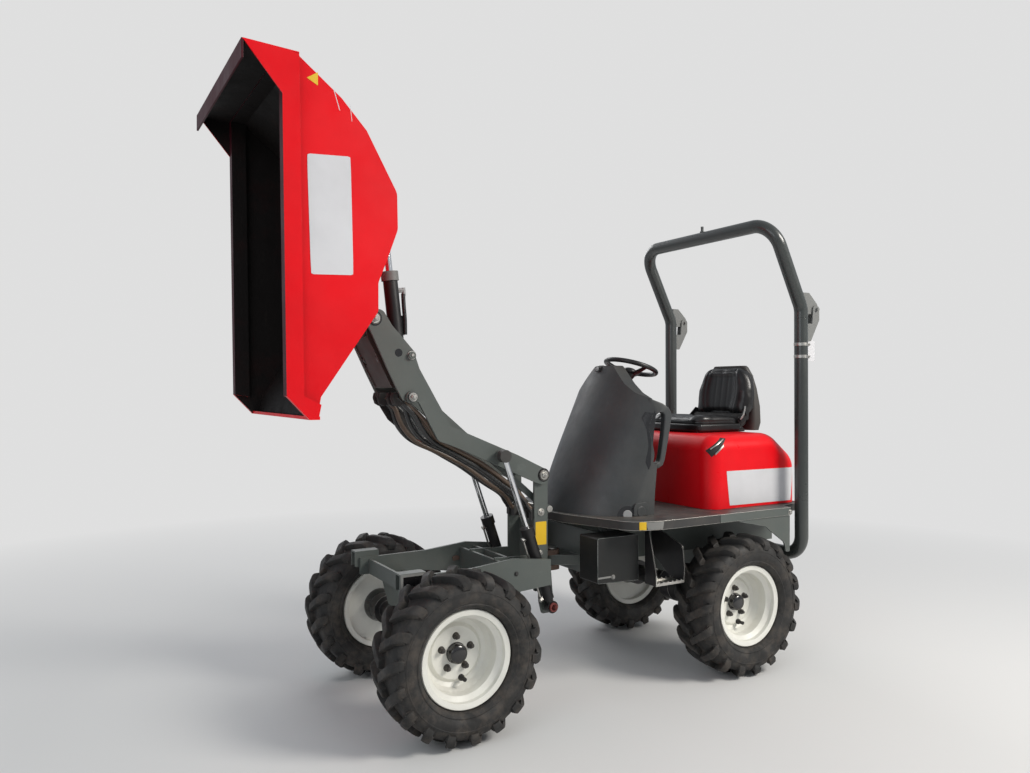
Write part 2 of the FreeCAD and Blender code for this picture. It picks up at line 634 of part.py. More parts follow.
def cylinder_barrel(base, eye, y, radius, length, rod_radius, eye_radius, neck_length):
    """Barrel with its lower eye, its head and its bore, along the line from base to eye."""
    size = math.hypot(eye[0] - base[0], eye[1] - base[1])
    u = ((eye[0] - base[0]) / size, (eye[1] - base[1]) / size)

    def at(d):
        return (base[0] + u[0] * d, y, base[1] + u[1] * d)
    body = rod(at(neck_length), at(length), radius)
    neck = rod(at(0), at(neck_length + 2), EYE_WIDTH / 2 - 1)
    head = rod(at(length - 46), at(length), radius + 7)
    eye_ring = cross_pin(base[0], base[1], eye_radius, y - EYE_WIDTH / 2, y + EYE_WIDTH / 2)
    solid = fuse([body, neck, head, eye_ring])
    solid = solid.cut(rod(at(neck_length + BARREL_BASE), at(length + 5), radius - 6))
    gland = rod(at(length - 30), at(length), radius - 5)
    solid = fuse([solid, gland])
    return solid.cut(rod(at(neck_length + BARREL_BASE), at(length + 5), rod_radius + PIN_CLEARANCE))


def cylinder_rod(base, eye, y, start, radius, eye_radius):
    size = math.hypot(eye[0] - base[0], eye[1] - base[1])
    u = ((eye[0] - base[0]) / size, (eye[1] - base[1]) / size)

    def at(d):
        return (base[0] + u[0] * d, y, base[1] + u[1] * d)
    shaft = rod(at(start), at(size - eye_radius + 6), radius)
    eye_ring = cross_pin(eye[0], eye[1], eye_radius, y - EYE_WIDTH / 2, y + EYE_WIDTH / 2)
    return fuse([shaft, eye_ring])


# Skip

SKIP_OUTLINE = [
    # x, z, corner radius
    (-1019, 519, 0), (-1014, 448, 0), (-957, 376, 0), (-873, 269, 0), (-755, 160, 0), (-509, 24, 60),
    (-352, 21, 60), (-229, 66, 60), (-120, 109, 40), (2, 109, 40), (362, 356, 0), (453, 372, 0),
    (454, 408, 0), (357, 500, 0)]


def skip_shell():
    """The skip as it lies level; its side walls carry a box rim and its rear a guard plate."""
    px, pz = SKIP_PIVOT
    outline = [(px + p[0], pz + p[1], p[2]) for p in SKIP_OUTLINE]
    t = SKIP_WALL
    half = SKIP_HALF_WIDTH - SKIP_PANEL_STEP
    outer = side_plate(outline, -half, half)
    raised = []
    for p in SKIP_OUTLINE:
        x, z, radius = p
        if p in (SKIP_OUTLINE[0], SKIP_OUTLINE[-1]):
            z = z + 80
        if p == SKIP_OUTLINE[-2]:
            x = x + 60
            z = z + 80
        if p == SKIP_OUTLINE[-3]:
            x = x + 60
            z = z + 10
        raised.append((px + x, pz + z, radius))
    wire = rounded_wire(raised, lambda u, v: vec(u, 0, v))
    inner_face = Part.Face(wire.makeOffset2D(-t, 2, False, False, False))
    inner = inner_face.extrude(vec(0, 2 * (half - t), 0))
    inner.translate(vec(0, -(half - t), 0))
    parts = [outer.cut(inner)]
    rear = SKIP_OUTLINE[0]
    front = SKIP_OUTLINE[-1]
    lip_top = SKIP_OUTLINE[-2]
    lip_foot = SKIP_OUTLINE[-3]
    deep = SKIP_RIM_DEPTH
    guard_top = rear[1] + GUARD_HEIGHT
    for s in (1, -1):
        y0 = s * (SKIP_HALF_WIDTH - SKIP_RIM_WIDTH)
        y1 = s * SKIP_HALF_WIDTH
        rim_bar = side_plate([(px + rear[0], pz + rear[1]), (px + front[0], pz + front[1]),
                              (px + front[0] + 12, pz + front[1] - deep), (px + rear[0] + 8, pz + rear[1] - deep)],
                             y0, y1)
        parts.append(rim_bar)
        gusset = side_plate([(px + rear[0], pz + rear[1] - 4), (px + rear[0] - 11, pz + guard_top),
                             (px + rear[0] + GUARD_LENGTH, pz + rear[1] - 7)], y1 - s * t, y1)
        parts.append(gusset)
        corner = side_plate([(px + front[0], pz + front[1]), (px + lip_top[0], pz + lip_top[1]),
                             (px + lip_foot[0], pz + lip_foot[1]), (px + lip_foot[0] - 60, pz + lip_foot[1] - 12),
                             (px + front[0], pz + front[1] - deep)], s * half - s * t, y1)
        parts.append(corner)
    parts.append(side_plate([(px + rear[0], pz + rear[1] - deep), (px + rear[0] - 11, pz + guard_top),
                             (px + rear[0] - 11 + t, pz + guard_top), (px + rear[0] + t, pz + rear[1] - deep)],
                            -SKIP_HALF_WIDTH, SKIP_HALF_WIDTH))
    parts.append(box(px + lip_top[0] - 14, px + lip_top[0], -SKIP_HALF_WIDTH, SKIP_HALF_WIDTH,
                     pz + lip_foot[1] - 6, pz + lip_top[1]))
    return fuse(parts)


def skip_brackets():
    """Pivot lugs and tilt bracket under the level skip's floor."""
    px, pz = SKIP_PIVOT
    parts = []
    for s in (1, -1):
        floor = pz + SKIP_OUTLINE[8][1] - PIN_CLEARANCE
        lug = side_plate([(px - 34, pz - 6, 22), (px, pz - 36, 22), (px + 34, pz - 6, 22), (px + 60, floor),
                          (px - 100, floor)],
                         s * (SKIP_LUG_OUTSIDE - SKIP_LUG_PLATE), s * SKIP_LUG_OUTSIDE)
        lug = lug.cut(cross_pin(px, pz, ARM_PIN_RADIUS + PIN_CLEARANCE, -200, 200))
        parts.append(lug)
    ex = px - TILT_EYE_OFFSET[1]
    ez = pz + TILT_EYE_OFFSET[0]
    inner = EYE_WIDTH / 2 + RUNNING_GAP
    # Each cheek meets the sloping floor between the two floor corners
    a = SKIP_OUTLINE[4]
    b = SKIP_OUTLINE[5]
    slope = (b[1] - a[1]) / float(b[0] - a[0])
    x0 = ex - 70
    x1 = ex + 80
    z0 = pz + a[1] + (x0 - px - a[0]) * slope - 1.2 * PIN_CLEARANCE
    z1 = pz + a[1] + (x1 - px - a[0]) * slope - 1.2 * PIN_CLEARANCE
    for s in (1, -1):
        cheek = side_plate([(ex - 30, ez - 30, 24), (ex + 28, ez - 30, 24), (ex + 28, ez + 52), (x1, z1), (x0, z0)],
                           s * inner, s * (inner + 12))
        parts.append(cheek)
    return parts


def tip(shape):
    """Turns a piece from the level skip to the tipped one."""
    out = shape.copy()
    out.rotate(vec(SKIP_PIVOT[0], 0, SKIP_PIVOT[1]), vec(0, 1, 0), TILT_RANGE)
    return out


# Rear frame and bodywork

def rear_chassis():
    parts = []
    for s in (1, -1):
        y0 = s * (CHASSIS_RAIL_Y - CHASSIS_RAIL_WIDTH / 2)
        y1 = s * (CHASSIS_RAIL_Y + CHASSIS_RAIL_WIDTH / 2)
        parts.append(box(CHASSIS_REAR_X, CHASSIS_FRONT_X, min(y0, y1), max(y0, y1),
                         CHASSIS_RAIL_BOTTOM, CHASSIS_RAIL_TOP))
        parts.append(box(POST_X - 34, POST_X + 34, min(y0, y1), max(y0, y1), LOWER_CROSS_Z,
                         CHASSIS_RAIL_BOTTOM + 5))
    span = CHASSIS_RAIL_Y + CHASSIS_RAIL_WIDTH / 2
    parts.append(box(CHASSIS_FRONT_X - 20, CHASSIS_FRONT_X, -span, span, PIVOT_HEIGHT - CHASSIS_FRONT_DROP,
                     CHASSIS_RAIL_TOP))
    parts.append(box(-520, -480, -span, span, CHASSIS_RAIL_BOTTOM, CHASSIS_RAIL_TOP - 60))
    parts.append(box(CHASSIS_REAR_X - 20, CHASSIS_REAR_X, -span, span, 640, CHASSIS_RAIL_TOP))
    tongue_low = PIVOT_HEIGHT - TONGUE_THICKNESS / 2
    tongue_high = PIVOT_HEIGHT + TONGUE_THICKNESS / 2
    parts.append(flat_plate([(CHASSIS_FRONT_X - 10, -120), (CHASSIS_FRONT_X - 10, 120), (PIVOT_X, PIVOT_EAR_RADIUS),
                             (PIVOT_X, -PIVOT_EAR_RADIUS)], tongue_low, tongue_high))
    parts.append(rod((PIVOT_X, 0, tongue_low), (PIVOT_X, 0, tongue_high), PIVOT_EAR_RADIUS))
    # Axle seat
    for x in (REAR_AXLE_X - 62, REAR_AXLE_X + 46):
        outline = [(-span, AXLE_SEAT_TOP), (span, AXLE_SEAT_TOP), (span, 600), (150, AXLE_HEIGHT + 40),
                   (-150, AXLE_HEIGHT + 40), (-span, 600)]
        parts.append(cross_plate(outline, x, x + 16))
    # Posts that carry the deck
    for x in (CHASSIS_FRONT_X - 65, REAR_AXLE_X + 237, POST_X + 72):
        for s in (1, -1):
            y0 = s * (CHASSIS_RAIL_Y - 15)
            y1 = s * (CHASSIS_RAIL_Y + 15)
            parts.append(box(x - 20, x + 20, min(y0, y1), max(y0, y1), CHASSIS_RAIL_TOP - 5,
                             DECK_TOP - DECK_PLATE - PIN_CLEARANCE))
    body = fuse(parts)
    bore = PIVOT_PIN_RADIUS + PIN_CLEARANCE
    body = body.cut(rod((PIVOT_X, 0, tongue_low - 5), (PIVOT_X, 0, tongue_high + 5), bore))
    body = body.cut(cross_pin(POST_X, LOWER_CROSS_Z, TUBE_RADIUS + PIN_CLEARANCE, -300, 300))
    return body.cut(cross_pin(REAR_AXLE_X, AXLE_HEIGHT, AXLE_HOUSING_RADIUS + PIN_CLEARANCE, -200, 200))


def deck():
    """Tray with a folded edge band; its front is curved round the cowl."""
    w = DECK_HALF_WIDTH
    # x, y, corner radius of the left half, from the front
    half = [(62, 110, 400), (-95, 540, 150), (-251, w, 300), (POST_X + 120, w, 0), (POST_X + 97, 505, 30),
            (POST_X - 100, 470, 30)]
    wire = rounded_wire(half + [(x, -y, r) for x, y, r in reversed(half)], lambda u, v: vec(u, v, 0))
    top = Part.Face(wire).extrude(vec(0, 0, DECK_BAND))
    under = Part.Face(wire.makeOffset2D(-DECK_PLATE, 0, False, False, False)).extrude(vec(0, 0, DECK_BAND))
    under.translate(vec(0, 0, -DECK_PLATE))
    body = top.cut(under)
    body.translate(vec(0, 0, DECK_TOP - DECK_BAND))
    well = box(HOOD_REAR_X + 215, HOOD_FRONT_X - 52, -292, 292, DECK_TOP - 20, DECK_TOP + 5)
    return body.cut(well)


def arch_panel(s):
    """Side apron over the rear wheel, hung inside the deck's edge band."""
    y0 = s * (DECK_HALF_WIDTH - 18)
    y1 = s * (DECK_HALF_WIDTH - DECK_PLATE - PIN_CLEARANCE)
    a = REAR_AXLE_X
    outline = [(a + 77, 842), (a + 22, 830, 60), (a - 140, 796, 60), (a - 290, 695, 30), (a - 303, 640, 8),
               (a - 333, 640, 8), (a - 335, 842)]
    panel = side_plate(outline, y0, y1)
    tab = side_plate([(a + 57, 838), (a + 57, 880), (a - 328, 880), (a - 328, 838)], y0, y1)
    return fuse([panel, tab])


def side_tank(s):
    y0 = s * (CHASSIS_RAIL_Y + CHASSIS_RAIL_WIDTH / 2 + PIN_CLEARANCE)
    y1 = s * 420
    return side_plate([(30, 570, 10), (30, 800, 10), (-232, 800, 10), (-232, 561, 10)], min(y0, y1), max(y0, y1))


def step(s):
    """Toothed tread between a front hanger and a wide rear plate that closes the wheel arch."""
    top = DECK_TOP - DECK_PLATE - PIN_CLEARANCE
    rear = REAR_AXLE_X + TYRE_RADIUS + STEP_TYRE_GAP
    front = rear + STEP_LENGTH + 2 * STEP_PLATE
    low = STEP_HEIGHT - STEP_PLATE
    rail = CHASSIS_RAIL_Y + CHASSIS_RAIL_WIDTH / 2 + PIN_CLEARANCE
    tread = box(rear, front, min(s * STEP_INSIDE, s * STEP_OUTSIDE), max(s * STEP_INSIDE, s * STEP_OUTSIDE),
                low, STEP_HEIGHT)
    hanger = cross_plate([(s * STEP_INSIDE, low), (s * STEP_OUTSIDE, low), (s * STEP_OUTSIDE, 600, 30),
                          (s * (STEP_INSIDE + 20), top), (s * STEP_INSIDE, top)], front - STEP_PLATE, front)
    closing = cross_plate([(s * STEP_INSIDE, low), (s * STEP_OUTSIDE, low), (s * (STEP_OUTSIDE + 6), 620, 40),
                           (s * (STEP_OUTSIDE - 8), 735, 26), (s * rail, 812), (s * rail, 660)],
                          rear, rear + STEP_PLATE)
    # The tread's long edges are upturned and cut into teeth
    pitch = STEP_LENGTH / STEP_TEETH
    root = STEP_HEIGHT + TOOTH_HEIGHT / 2
    profile = [(rear + STEP_PLATE, low)]
    for i in range(STEP_TEETH):
        x = rear + STEP_PLATE + i * pitch
        profile += [(x, root), (x + 0.3 * pitch, root), (x + 0.5 * pitch, STEP_HEIGHT + TOOTH_HEIGHT),
                    (x + 0.7 * pitch, root)]
    profile += [(front - STEP_PLATE, root), (front - STEP_PLATE, low)]
    edges = [side_plate(profile, s * (y - STEP_PLATE), s * y) for y in (STEP_OUTSIDE, STEP_INSIDE + STEP_PLATE)]
    return fuse([tread, hanger, closing] + edges)


def engine():
    return box(HOOD_REAR_X + 255, HOOD_FRONT_X - 80, -205, 205, AXLE_SEAT_TOP + PIN_CLEARANCE, HOOD_TOP - 150)


def hood_form(inset):
    """Side outline of the hood, with both its sides rounded into the front, top and rear."""
    f = HOOD_FRONT_X - inset
    r = HOOD_REAR_X + inset
    top = HOOD_TOP - inset
    w = HOOD_HALF_WIDTH - inset
    base = DECK_TOP + HOOD_BASE_GAP - (50 if inset > 0 else 0)
    body = side_plate([(f, base), (f, top, 96 - inset), (r + 190, top, 160 - inset), (r, top - 150, 130 - inset),
                       (r, base)], -w, w)
    sides = [e for e in body.Edges if e.BoundBox.YLength < 0.001 and e.BoundBox.ZMax > base + 1]
    return body.makeFillet(HOOD_CORNER - inset, sides)


def hood():
    return hood_form(0).cut(hood_form(HOOD_WALL))


def seat_base():
    t = HOOD_TOP
    plinth = box(-1230, -860, -190, 190, t - 3 + PIN_CLEARANCE, t + 22)
    plinth = plinth.cut(hood_form(-PIN_CLEARANCE))
    rail = side_plate([(-1215, t + 22), (-880, t + 22), (-880, t + 34), (-1215, t + 34), (-1300, t + 72),
                       (-1319.1, t + 110), (-1342.3, t + 340), (-1360, t + 340), (-1342, t + 100),
                       (-1310, t + 50), (-1260, t + 22)], -150, 150)
    return fuse([plinth, rail])


def seat_cushion():
    t = HOOD_TOP
    body = side_plate([(-830, t + 34.3, 20), (-815, t + 72, 25), (-870, t + 102, 30), (-1180, t + 88, 30),
                       (-1180, t + 34.3, 10)], -SEAT_HALF_WIDTH, SEAT_HALF_WIDTH)
    w = SEAT_HALF_WIDTH
    return body.common(flat_plate([(-815, -w, 90), (-815, w, 90), (-1180, w, 40), (-1180, -w, 40)], t, t + 120))


def seat_back():
    t = HOOD_TOP
    body = side_plate([(-1196, t + 80, 25), (-1250, t + 400, 30), (-1320, t + 406, 30), (-1342, t + 340),
                       (-1320, t + 122, 20), (-1270, t + 80, 20)], -SEAT_HALF_WIDTH + 10, SEAT_HALF_WIDTH - 10)
    w = SEAT_HALF_WIDTH - 10
    front = cross_plate([(-w + 20, t + 70, 40), (-w, t + 240, 200), (-w + 60, t + 406, 90), (w - 60, t + 406, 90),
                         (w, t + 240, 200), (w - 20, t + 70, 40)], -1400, -1150)
    return body.common(front)


def cowl_section(z, front, half, front_radius, corner):
    """Plan of the cowl at a height: a front arc, two corner arcs and straight sides toward the rear."""
    centre = front - front_radius
    corner_x = centre + math.sqrt((front_radius - corner) ** 2 - (half - corner) ** 2)
    turn = math.atan2(half - corner, corner_x - centre)
    bend = (turn + math.pi / 2) / 2
    edges = [Part.Arc(vec(centre + front_radius * math.cos(turn), -front_radius * math.sin(turn), z),
                      vec(front, 0, z),
                      vec(centre + front_radius * math.cos(turn), front_radius * math.sin(turn), z)).toShape()]
    for s in (1, -1):
        start = vec(centre + front_radius * math.cos(turn), s * front_radius * math.sin(turn), z)
        middle = vec(corner_x + corner * math.cos(bend), s * (half - corner + corner * math.sin(bend)), z)
        side = vec(corner_x, s * half, z)
        edges.append(Part.Arc(start, middle, side).toShape())
        edges.append(Part.LineSegment(side, vec(COWL_BEHIND, s * half, z)).toShape())
    edges.append(Part.LineSegment(vec(COWL_BEHIND, half, z), vec(COWL_BEHIND, -half, z)).toShape())
    return Part.Wire(Part.__sortEdges__(edges))


COWL_SECTIONS = [
    # height, front x, half width, front radius, corner radius
    (DECK_TOP + PIN_CLEARANCE, 34, 402, 440, 90),
    (1150, -66, 412, 450, 90),
    (1420, -196, 436, 480, 90),
    (1700, -322, 440, 500, 90),
]
COWL_CREST = [
    # y, z, corner radius of the top edge, from the shoulder to the peak
    (440, 1482, 0), (376, 1494, 30), (272, 1536, 90), (198, 1586, 120), (84, 1690, 40)]


def cowl_form(growth):
    """Leg shield and console as one closed form, cut off by a rear plane and by the falling top edge."""
    wires = [cowl_section(z, front + growth, half + growth, radius + growth, corner)
             for z, front, half, radius, corner in COWL_SECTIONS]
    body = Part.makeLoft(wires, True, False)
    crest = [(y + growth, z + growth, r) for y, z, r in COWL_CREST]
    base = COWL_SECTIONS[0][0] - 5
    outline = [(crest[0][0], base)] + crest + [(-y, z, r) for y, z, r in reversed(crest)] + [(-crest[0][0], base)]
    body = body.common(cross_plate(outline, COWL_BEHIND, 60))
    return body.common(ahead_of_cowl_rear(growth))


def ahead_of_cowl_rear(growth):
    """Everything in front of the plane that ends the cowl at the rear."""
    low, high = COWL_REAR
    foot, top = DECK_TOP - 5, COWL_CREST[-1][1] + 20
    return side_plate([(low - growth, foot), (60, foot), (60, top), (high - growth, top)], -460, 460)


def cowl_hollow():
    """Leg room behind the shield, open to the rear and to the floor."""
    wires = []
    for z, front, half, radius, corner in COWL_SECTIONS[:3]:
        wires.append(cowl_section(z, front - COWL_WALL, half - COWL_SIDE, radius - COWL_WALL, corner - 20))
    tall = Part.makeLoft(wires, True, False)
    return tall.common(box(COWL_BEHIND - 1, 60, -460, 460, 880, COWL_KNEE_TOP))


def cowl():
    body = cowl_form(0).cut(cowl_hollow())
    cuts = []
    for s in (1, -1):
        outer = s * (HOOD_HALF_WIDTH + 2)
        pocket = side_plate(COWL_POCKET, s * (COWL_SECTIONS[0][2] - COWL_POCKET_DEPTH), outer)
        arch = cross_pin(COWL_ARCH[0], COWL_ARCH[1], COWL_ARCH_RADIUS, s * (COWL_SECTIONS[0][2] - 30), outer)
        cuts += [pocket, arch]
    for cut in cuts:
        body = body.cut(cut)
    return body


def grab_handle(s):
    y = s * 372
    bar = pipe([(-360, y, 1436), (-478, y, 1436), (-432, y, 1160), (-340, y, 1160)], 28, 13)
    return bar.cut(ahead_of_cowl_rear(PIN_CLEARANCE))


def along_column(d):
    """Point on the steering axis, a distance d above the ring's centre."""
    angle = math.radians(STEERING_TILT)
    x, z = STEERING_CENTRE
    return (x - math.sin(angle) * d, 0, z + math.cos(angle) * d)


def steering_column():
    shaft = rod(along_column(-STEERING_DISH - 28 - RUNNING_GAP), along_column(-STEERING_DISH - 160), 24)
    arm = rod(along_column(-STEERING_DISH - 120), (-330, 0, 1560), 26)
    return fuse([shaft, arm]).cut(ahead_of_cowl_rear(PIN_CLEARANCE))


def steering_wheel():
    x, z = STEERING_CENTRE
    parts = [Part.makeTorus(STEERING_RADIUS, STEERING_RIM),
             rod((0, 0, -STEERING_DISH - 28), (0, 0, -STEERING_DISH + 10), 32)]
    for i in range(3):
        turn = math.radians(90 + 120 * i)
        tip_point = (STEERING_RADIUS * math.cos(turn), STEERING_RADIUS * math.sin(turn), 0)
        parts.append(rod((0, 0, -STEERING_DISH - 8), tip_point, 8))
    body = fuse(parts)
    body.rotate(vec(0, 0, 0), vec(0, 1, 0), -STEERING_TILT)
    body.translate(vec(x, 0, z))
    return body


def rops_lower():
    near = (POST_X, POST_Y, HOOP_JOINT_Z - RUNNING_GAP)
    far = (POST_X, -POST_Y, HOOP_JOINT_Z - RUNNING_GAP)
    tube = pipe([near, (POST_X, POST_Y, LOWER_CROSS_Z), (POST_X, -POST_Y, LOWER_CROSS_Z), far],
                LOWER_CORNER, TUBE_RADIUS)
    parts = [tube]
    px, pz = FOLD_PIVOT
    for s in (1, -1):
        for dy in (-20, 12):
            y0 = s * POST_Y + dy
            ear = side_plate([(POST_X - 20, 1830), (POST_X - 60, 1830, 10), (px - 24, pz - 60, 20),
                              (px - 24, pz + 22, 20), (px + 26, pz + 22, 20), (px + 36, HOOP_JOINT_Z - 30),
                              (POST_X - 20, HOOP_JOINT_Z - 30)], y0, y0 + 8)
            parts.append(ear)
    body = fuse(parts)
    return body.cut(cross_pin(px, pz, FOLD_PIN_RADIUS + PIN_CLEARANCE, -POST_Y - 60, POST_Y + 60))


def rops_upper():
    hx, hz = HOOP_TOP
    tube = pipe([(POST_X, POST_Y, HOOP_JOINT_Z), (POST_X, POST_Y, POST_BEND_Z + 30), (hx, POST_Y, hz),
                 (hx, -POST_Y, hz), (POST_X, -POST_Y, POST_BEND_Z + 30), (POST_X, -POST_Y, HOOP_JOINT_Z)],
                [120, HOOP_CORNER, HOOP_CORNER, 120], TUBE_RADIUS)
    parts = [tube]
    px, pz = FOLD_PIVOT
    for s in (1, -1):
        y0 = s * POST_Y - 10
        ear = side_plate([(px - 20, pz - 20, 16), (px + 60, pz - 28), (POST_X - 20, pz - 28), (POST_X - 10, 2110),
                          (px + 50, 2110, 14), (px - 20, pz + 30, 16)], y0, y0 + 20)
        parts.append(ear)
        parts.append(cross_pin(px, pz, FOLD_PIN_RADIUS, s * POST_Y - 34, s * POST_Y + 34))
    # Beacon stub on the cross tube, on a short seat
    seat_top = hz + TUBE_RADIUS + BEACON_SEAT
    parts.append(rod((hx, BEACON_Y, hz), (hx, BEACON_Y, seat_top), BEACON_RADIUS + 6))
    parts.append(rod((hx, BEACON_Y, seat_top - 1), (hx, BEACON_Y, seat_top + BEACON_LENGTH), BEACON_RADIUS))
    return fuse(parts)


def tow_hitch():
    plate = box(CHASSIS_REAR_X - 34, CHASSIS_REAR_X - 20 - PIN_CLEARANCE, -90, 90, 640, 780)
    jaws = []
    for z in (672, 728):
        end = CHASSIS_REAR_X - HITCH_REACH
        jaw = flat_plate([(CHASSIS_REAR_X - 33, -55), (CHASSIS_REAR_X - 33, 55), (end, 40, 20), (end, -40, 20)],
                         z, z + 18)
        jaws.append(jaw)
    body = fuse([plate] + jaws)
    return body.cut(rod((CHASSIS_REAR_X - 68, 0, 660), (CHASSIS_REAR_X - 68, 0, 760), 13))


def safety_prop():
    inner = -ARM_OUTSIDE - PIN_CLEARANCE
    y = -ARM_OUTSIDE - 16
    bar = rod((446, y, 1145), (836, y, 1336), 11)
    foot = side_plate([(436, 1132), (464, 1138), (474, 1196), (448, 1186)], y - 4, inner)
    head = side_plate([(820, 1318), (848, 1328), (858, 1446), (836, 1424)], y - 4, inner)
    return fuse([bar, foot, head])


FRONT_REACH = SKIP_PIVOT[0] + SKIP_OUTLINE[0][1] + GUARD_HEIGHT
REAR_REACH = CHASSIS_REAR_X - HITCH_REACH
ORIGIN_X = (FRONT_REACH + REAR_REACH) / 2


def save(name, shapes):
    if not isinstance(shapes, (list, tuple)):
        shapes = [shapes]
    moved = []
    for shape in shapes:
        for solid in shape.Solids:
            copy = solid.copy()
            copy.translate(vec(-ORIGIN_X, 0, 0))
            moved.append(copy)
    whole = moved[0] if len(moved) == 1 else Part.makeCompound(moved)
    print(name, len(moved), round(whole.Volume / 1e6, 3), whole.isValid())
    whole.exportStep("parts/" + name + ".step")


def main():
    os.makedirs("parts", exist_ok=True)
    tyre_shape = tyre()
    rim_shape = rim()
    hub_shape = [hub()] + wheel_nuts()
    # axle x, side
    for place, x in (("front", FRONT_AXLE_X), ("rear", REAR_AXLE_X)):
        for side, s in (("left", 1), ("right", -1)):
            for piece, shapes in (("tyre", [tyre_shape]), ("rim", [rim_shape]), ("hub", hub_shape)):
                placed = []
                for shape in shapes:
                    copy = shape if s > 0 else shape.mirror(vec(0, 0, 0), vec(0, 1, 0))
                    copy = copy.copy()
                    copy.translate(vec(x, s * TRACK / 2, AXLE_HEIGHT))
                    placed.append(copy)
                save("%s_%s_%s" % (piece, place, side), placed)
        save("axle_" + place, axle(x))
    save("front_frame", front_frame())
    save("mast", mast())
    save("mast_pins", mast_pins())
    save("lift_arm", lift_arm())
    save("arm_pins", arm_pins())
    save("safety_prop", safety_prop())
    save("level_bars", level_bars())
    save("carrier", carrier())
    tilt_base = (SKIP_PIVOT[0] + TILT_BASE_OFFSET[0], SKIP_PIVOT[1] + TILT_BASE_OFFSET[1])
    tilt_eye = (SKIP_PIVOT[0] + TILT_EYE_OFFSET[0], SKIP_PIVOT[1] + TILT_EYE_OFFSET[1])
    lift_closed = closed_reach(LIFT_BASE, LIFT_EYE, ARM_PIVOT, LIFT_RANGE)
    lift_stroke = math.hypot(LIFT_EYE[0] - LIFT_BASE[0], LIFT_EYE[1] - LIFT_BASE[1]) - lift_closed
    barrels = []
    rods = []
    for s in (1, -1):
        y = s * LIFT_CYLINDER_Y
        barrel = cylinder_barrel(LIFT_BASE, LIFT_EYE, y, LIFT_BARREL_RADIUS, lift_closed - LIFT_ROD_STUB,
                                 LIFT_ROD_RADIUS, LIFT_EYE_RADIUS, LIFT_NECK)
        bore = cross_pin(LIFT_BASE[0], LIFT_BASE[1], LIFT_PIN_RADIUS + PIN_CLEARANCE, -300, 300)
        barrels.append(barrel.cut(bore))
        rods.append(cylinder_rod(LIFT_BASE, LIFT_EYE, y, lift_stroke + LIFT_ROD_FOOT, LIFT_ROD_RADIUS,
                                 LIFT_EYE_RADIUS))
    save("lift_barrels", barrels)
    save("lift_rods", rods)
    tilt_closed = closed_reach(tilt_base, tilt_eye, SKIP_PIVOT, -TILT_RANGE)
    tilt_stroke = math.hypot(tilt_eye[0] - tilt_base[0], tilt_eye[1] - tilt_base[1]) - tilt_closed
    barrel = cylinder_barrel(tilt_base, tilt_eye, 0, TILT_BARREL_RADIUS, tilt_closed - TILT_ROD_STUB,
                             TILT_ROD_RADIUS, TILT_EYE_RADIUS, TILT_NECK)
    bore = cross_pin(tilt_base[0], tilt_base[1], TILT_PIN_RADIUS + PIN_CLEARANCE, -300, 300)
    save("tilt_barrel", barrel.cut(bore))
    save("tilt_rod", cylinder_rod(tilt_base, tilt_eye, 0, tilt_stroke + TILT_ROD_FOOT, TILT_ROD_RADIUS,
                                  TILT_EYE_RADIUS))
    save("skip", tip(skip_shell()))
    save("skip_brackets", [tip(shape) for shape in skip_brackets()])
    save("rear_chassis", rear_chassis())
    save("deck", deck())
    for name, piece in (("arch_panels", arch_panel), ("side_tanks", side_tank), ("steps", step),
                        ("grab_handles", grab_handle)):
        save(name, [piece(1), piece(-1)])
    save("engine", engine())
    save("hood", hood())
    save("seat_base", seat_base())
    save("seat_cushion", seat_cushion())
    save("seat_back", seat_back())
    save("cowl", cowl())
    save("steering_column", steering_column())
    save("steering_wheel", steering_wheel())
    save("rops_lower", rops_lower())
    save("rops_upper", rops_upper())
    save("tow_hitch", tow_hitch())
    print("origin", ORIGIN_X)


main()
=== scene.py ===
import bmesh
import bpy
import json
import math
from mathutils import Matrix, Vector
from mathutils.bvhtree import BVHTree


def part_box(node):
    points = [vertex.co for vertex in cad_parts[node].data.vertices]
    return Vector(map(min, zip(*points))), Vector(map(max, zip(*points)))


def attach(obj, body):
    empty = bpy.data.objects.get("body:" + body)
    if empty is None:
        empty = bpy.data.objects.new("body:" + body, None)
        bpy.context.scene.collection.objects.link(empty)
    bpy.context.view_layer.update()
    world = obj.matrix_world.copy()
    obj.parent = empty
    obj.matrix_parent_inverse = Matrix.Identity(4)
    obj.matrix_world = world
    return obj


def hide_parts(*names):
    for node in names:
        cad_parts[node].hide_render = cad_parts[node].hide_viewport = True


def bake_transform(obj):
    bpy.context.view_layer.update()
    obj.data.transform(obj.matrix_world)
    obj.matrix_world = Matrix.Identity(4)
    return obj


# Articulated site dumper with its high-tip skip raised and tipped, in metres.
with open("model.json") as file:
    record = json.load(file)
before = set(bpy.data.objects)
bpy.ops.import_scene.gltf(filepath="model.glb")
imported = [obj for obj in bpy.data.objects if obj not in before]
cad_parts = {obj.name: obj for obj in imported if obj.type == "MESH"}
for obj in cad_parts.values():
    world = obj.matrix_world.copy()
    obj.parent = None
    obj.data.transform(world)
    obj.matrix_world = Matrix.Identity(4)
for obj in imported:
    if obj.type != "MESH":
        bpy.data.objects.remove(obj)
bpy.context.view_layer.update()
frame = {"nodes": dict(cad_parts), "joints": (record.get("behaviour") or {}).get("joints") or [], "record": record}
NODES = frame["nodes"]
JOINT = {j["name"]: j for j in frame["joints"]}
BODY_OF = {n: body for body, members in frame["record"]["behaviour"]["bodies"].items() for n in members}
NODE_SLOT = {p["node"]: p["material_slot"] for p in frame["record"]["subparts"]}

# The machine's zero lies midway between the axles, 40 mm behind the articulation pin
ZERO_X = JOINT["frame_pivot"]["pos_m"][0] - 0.040

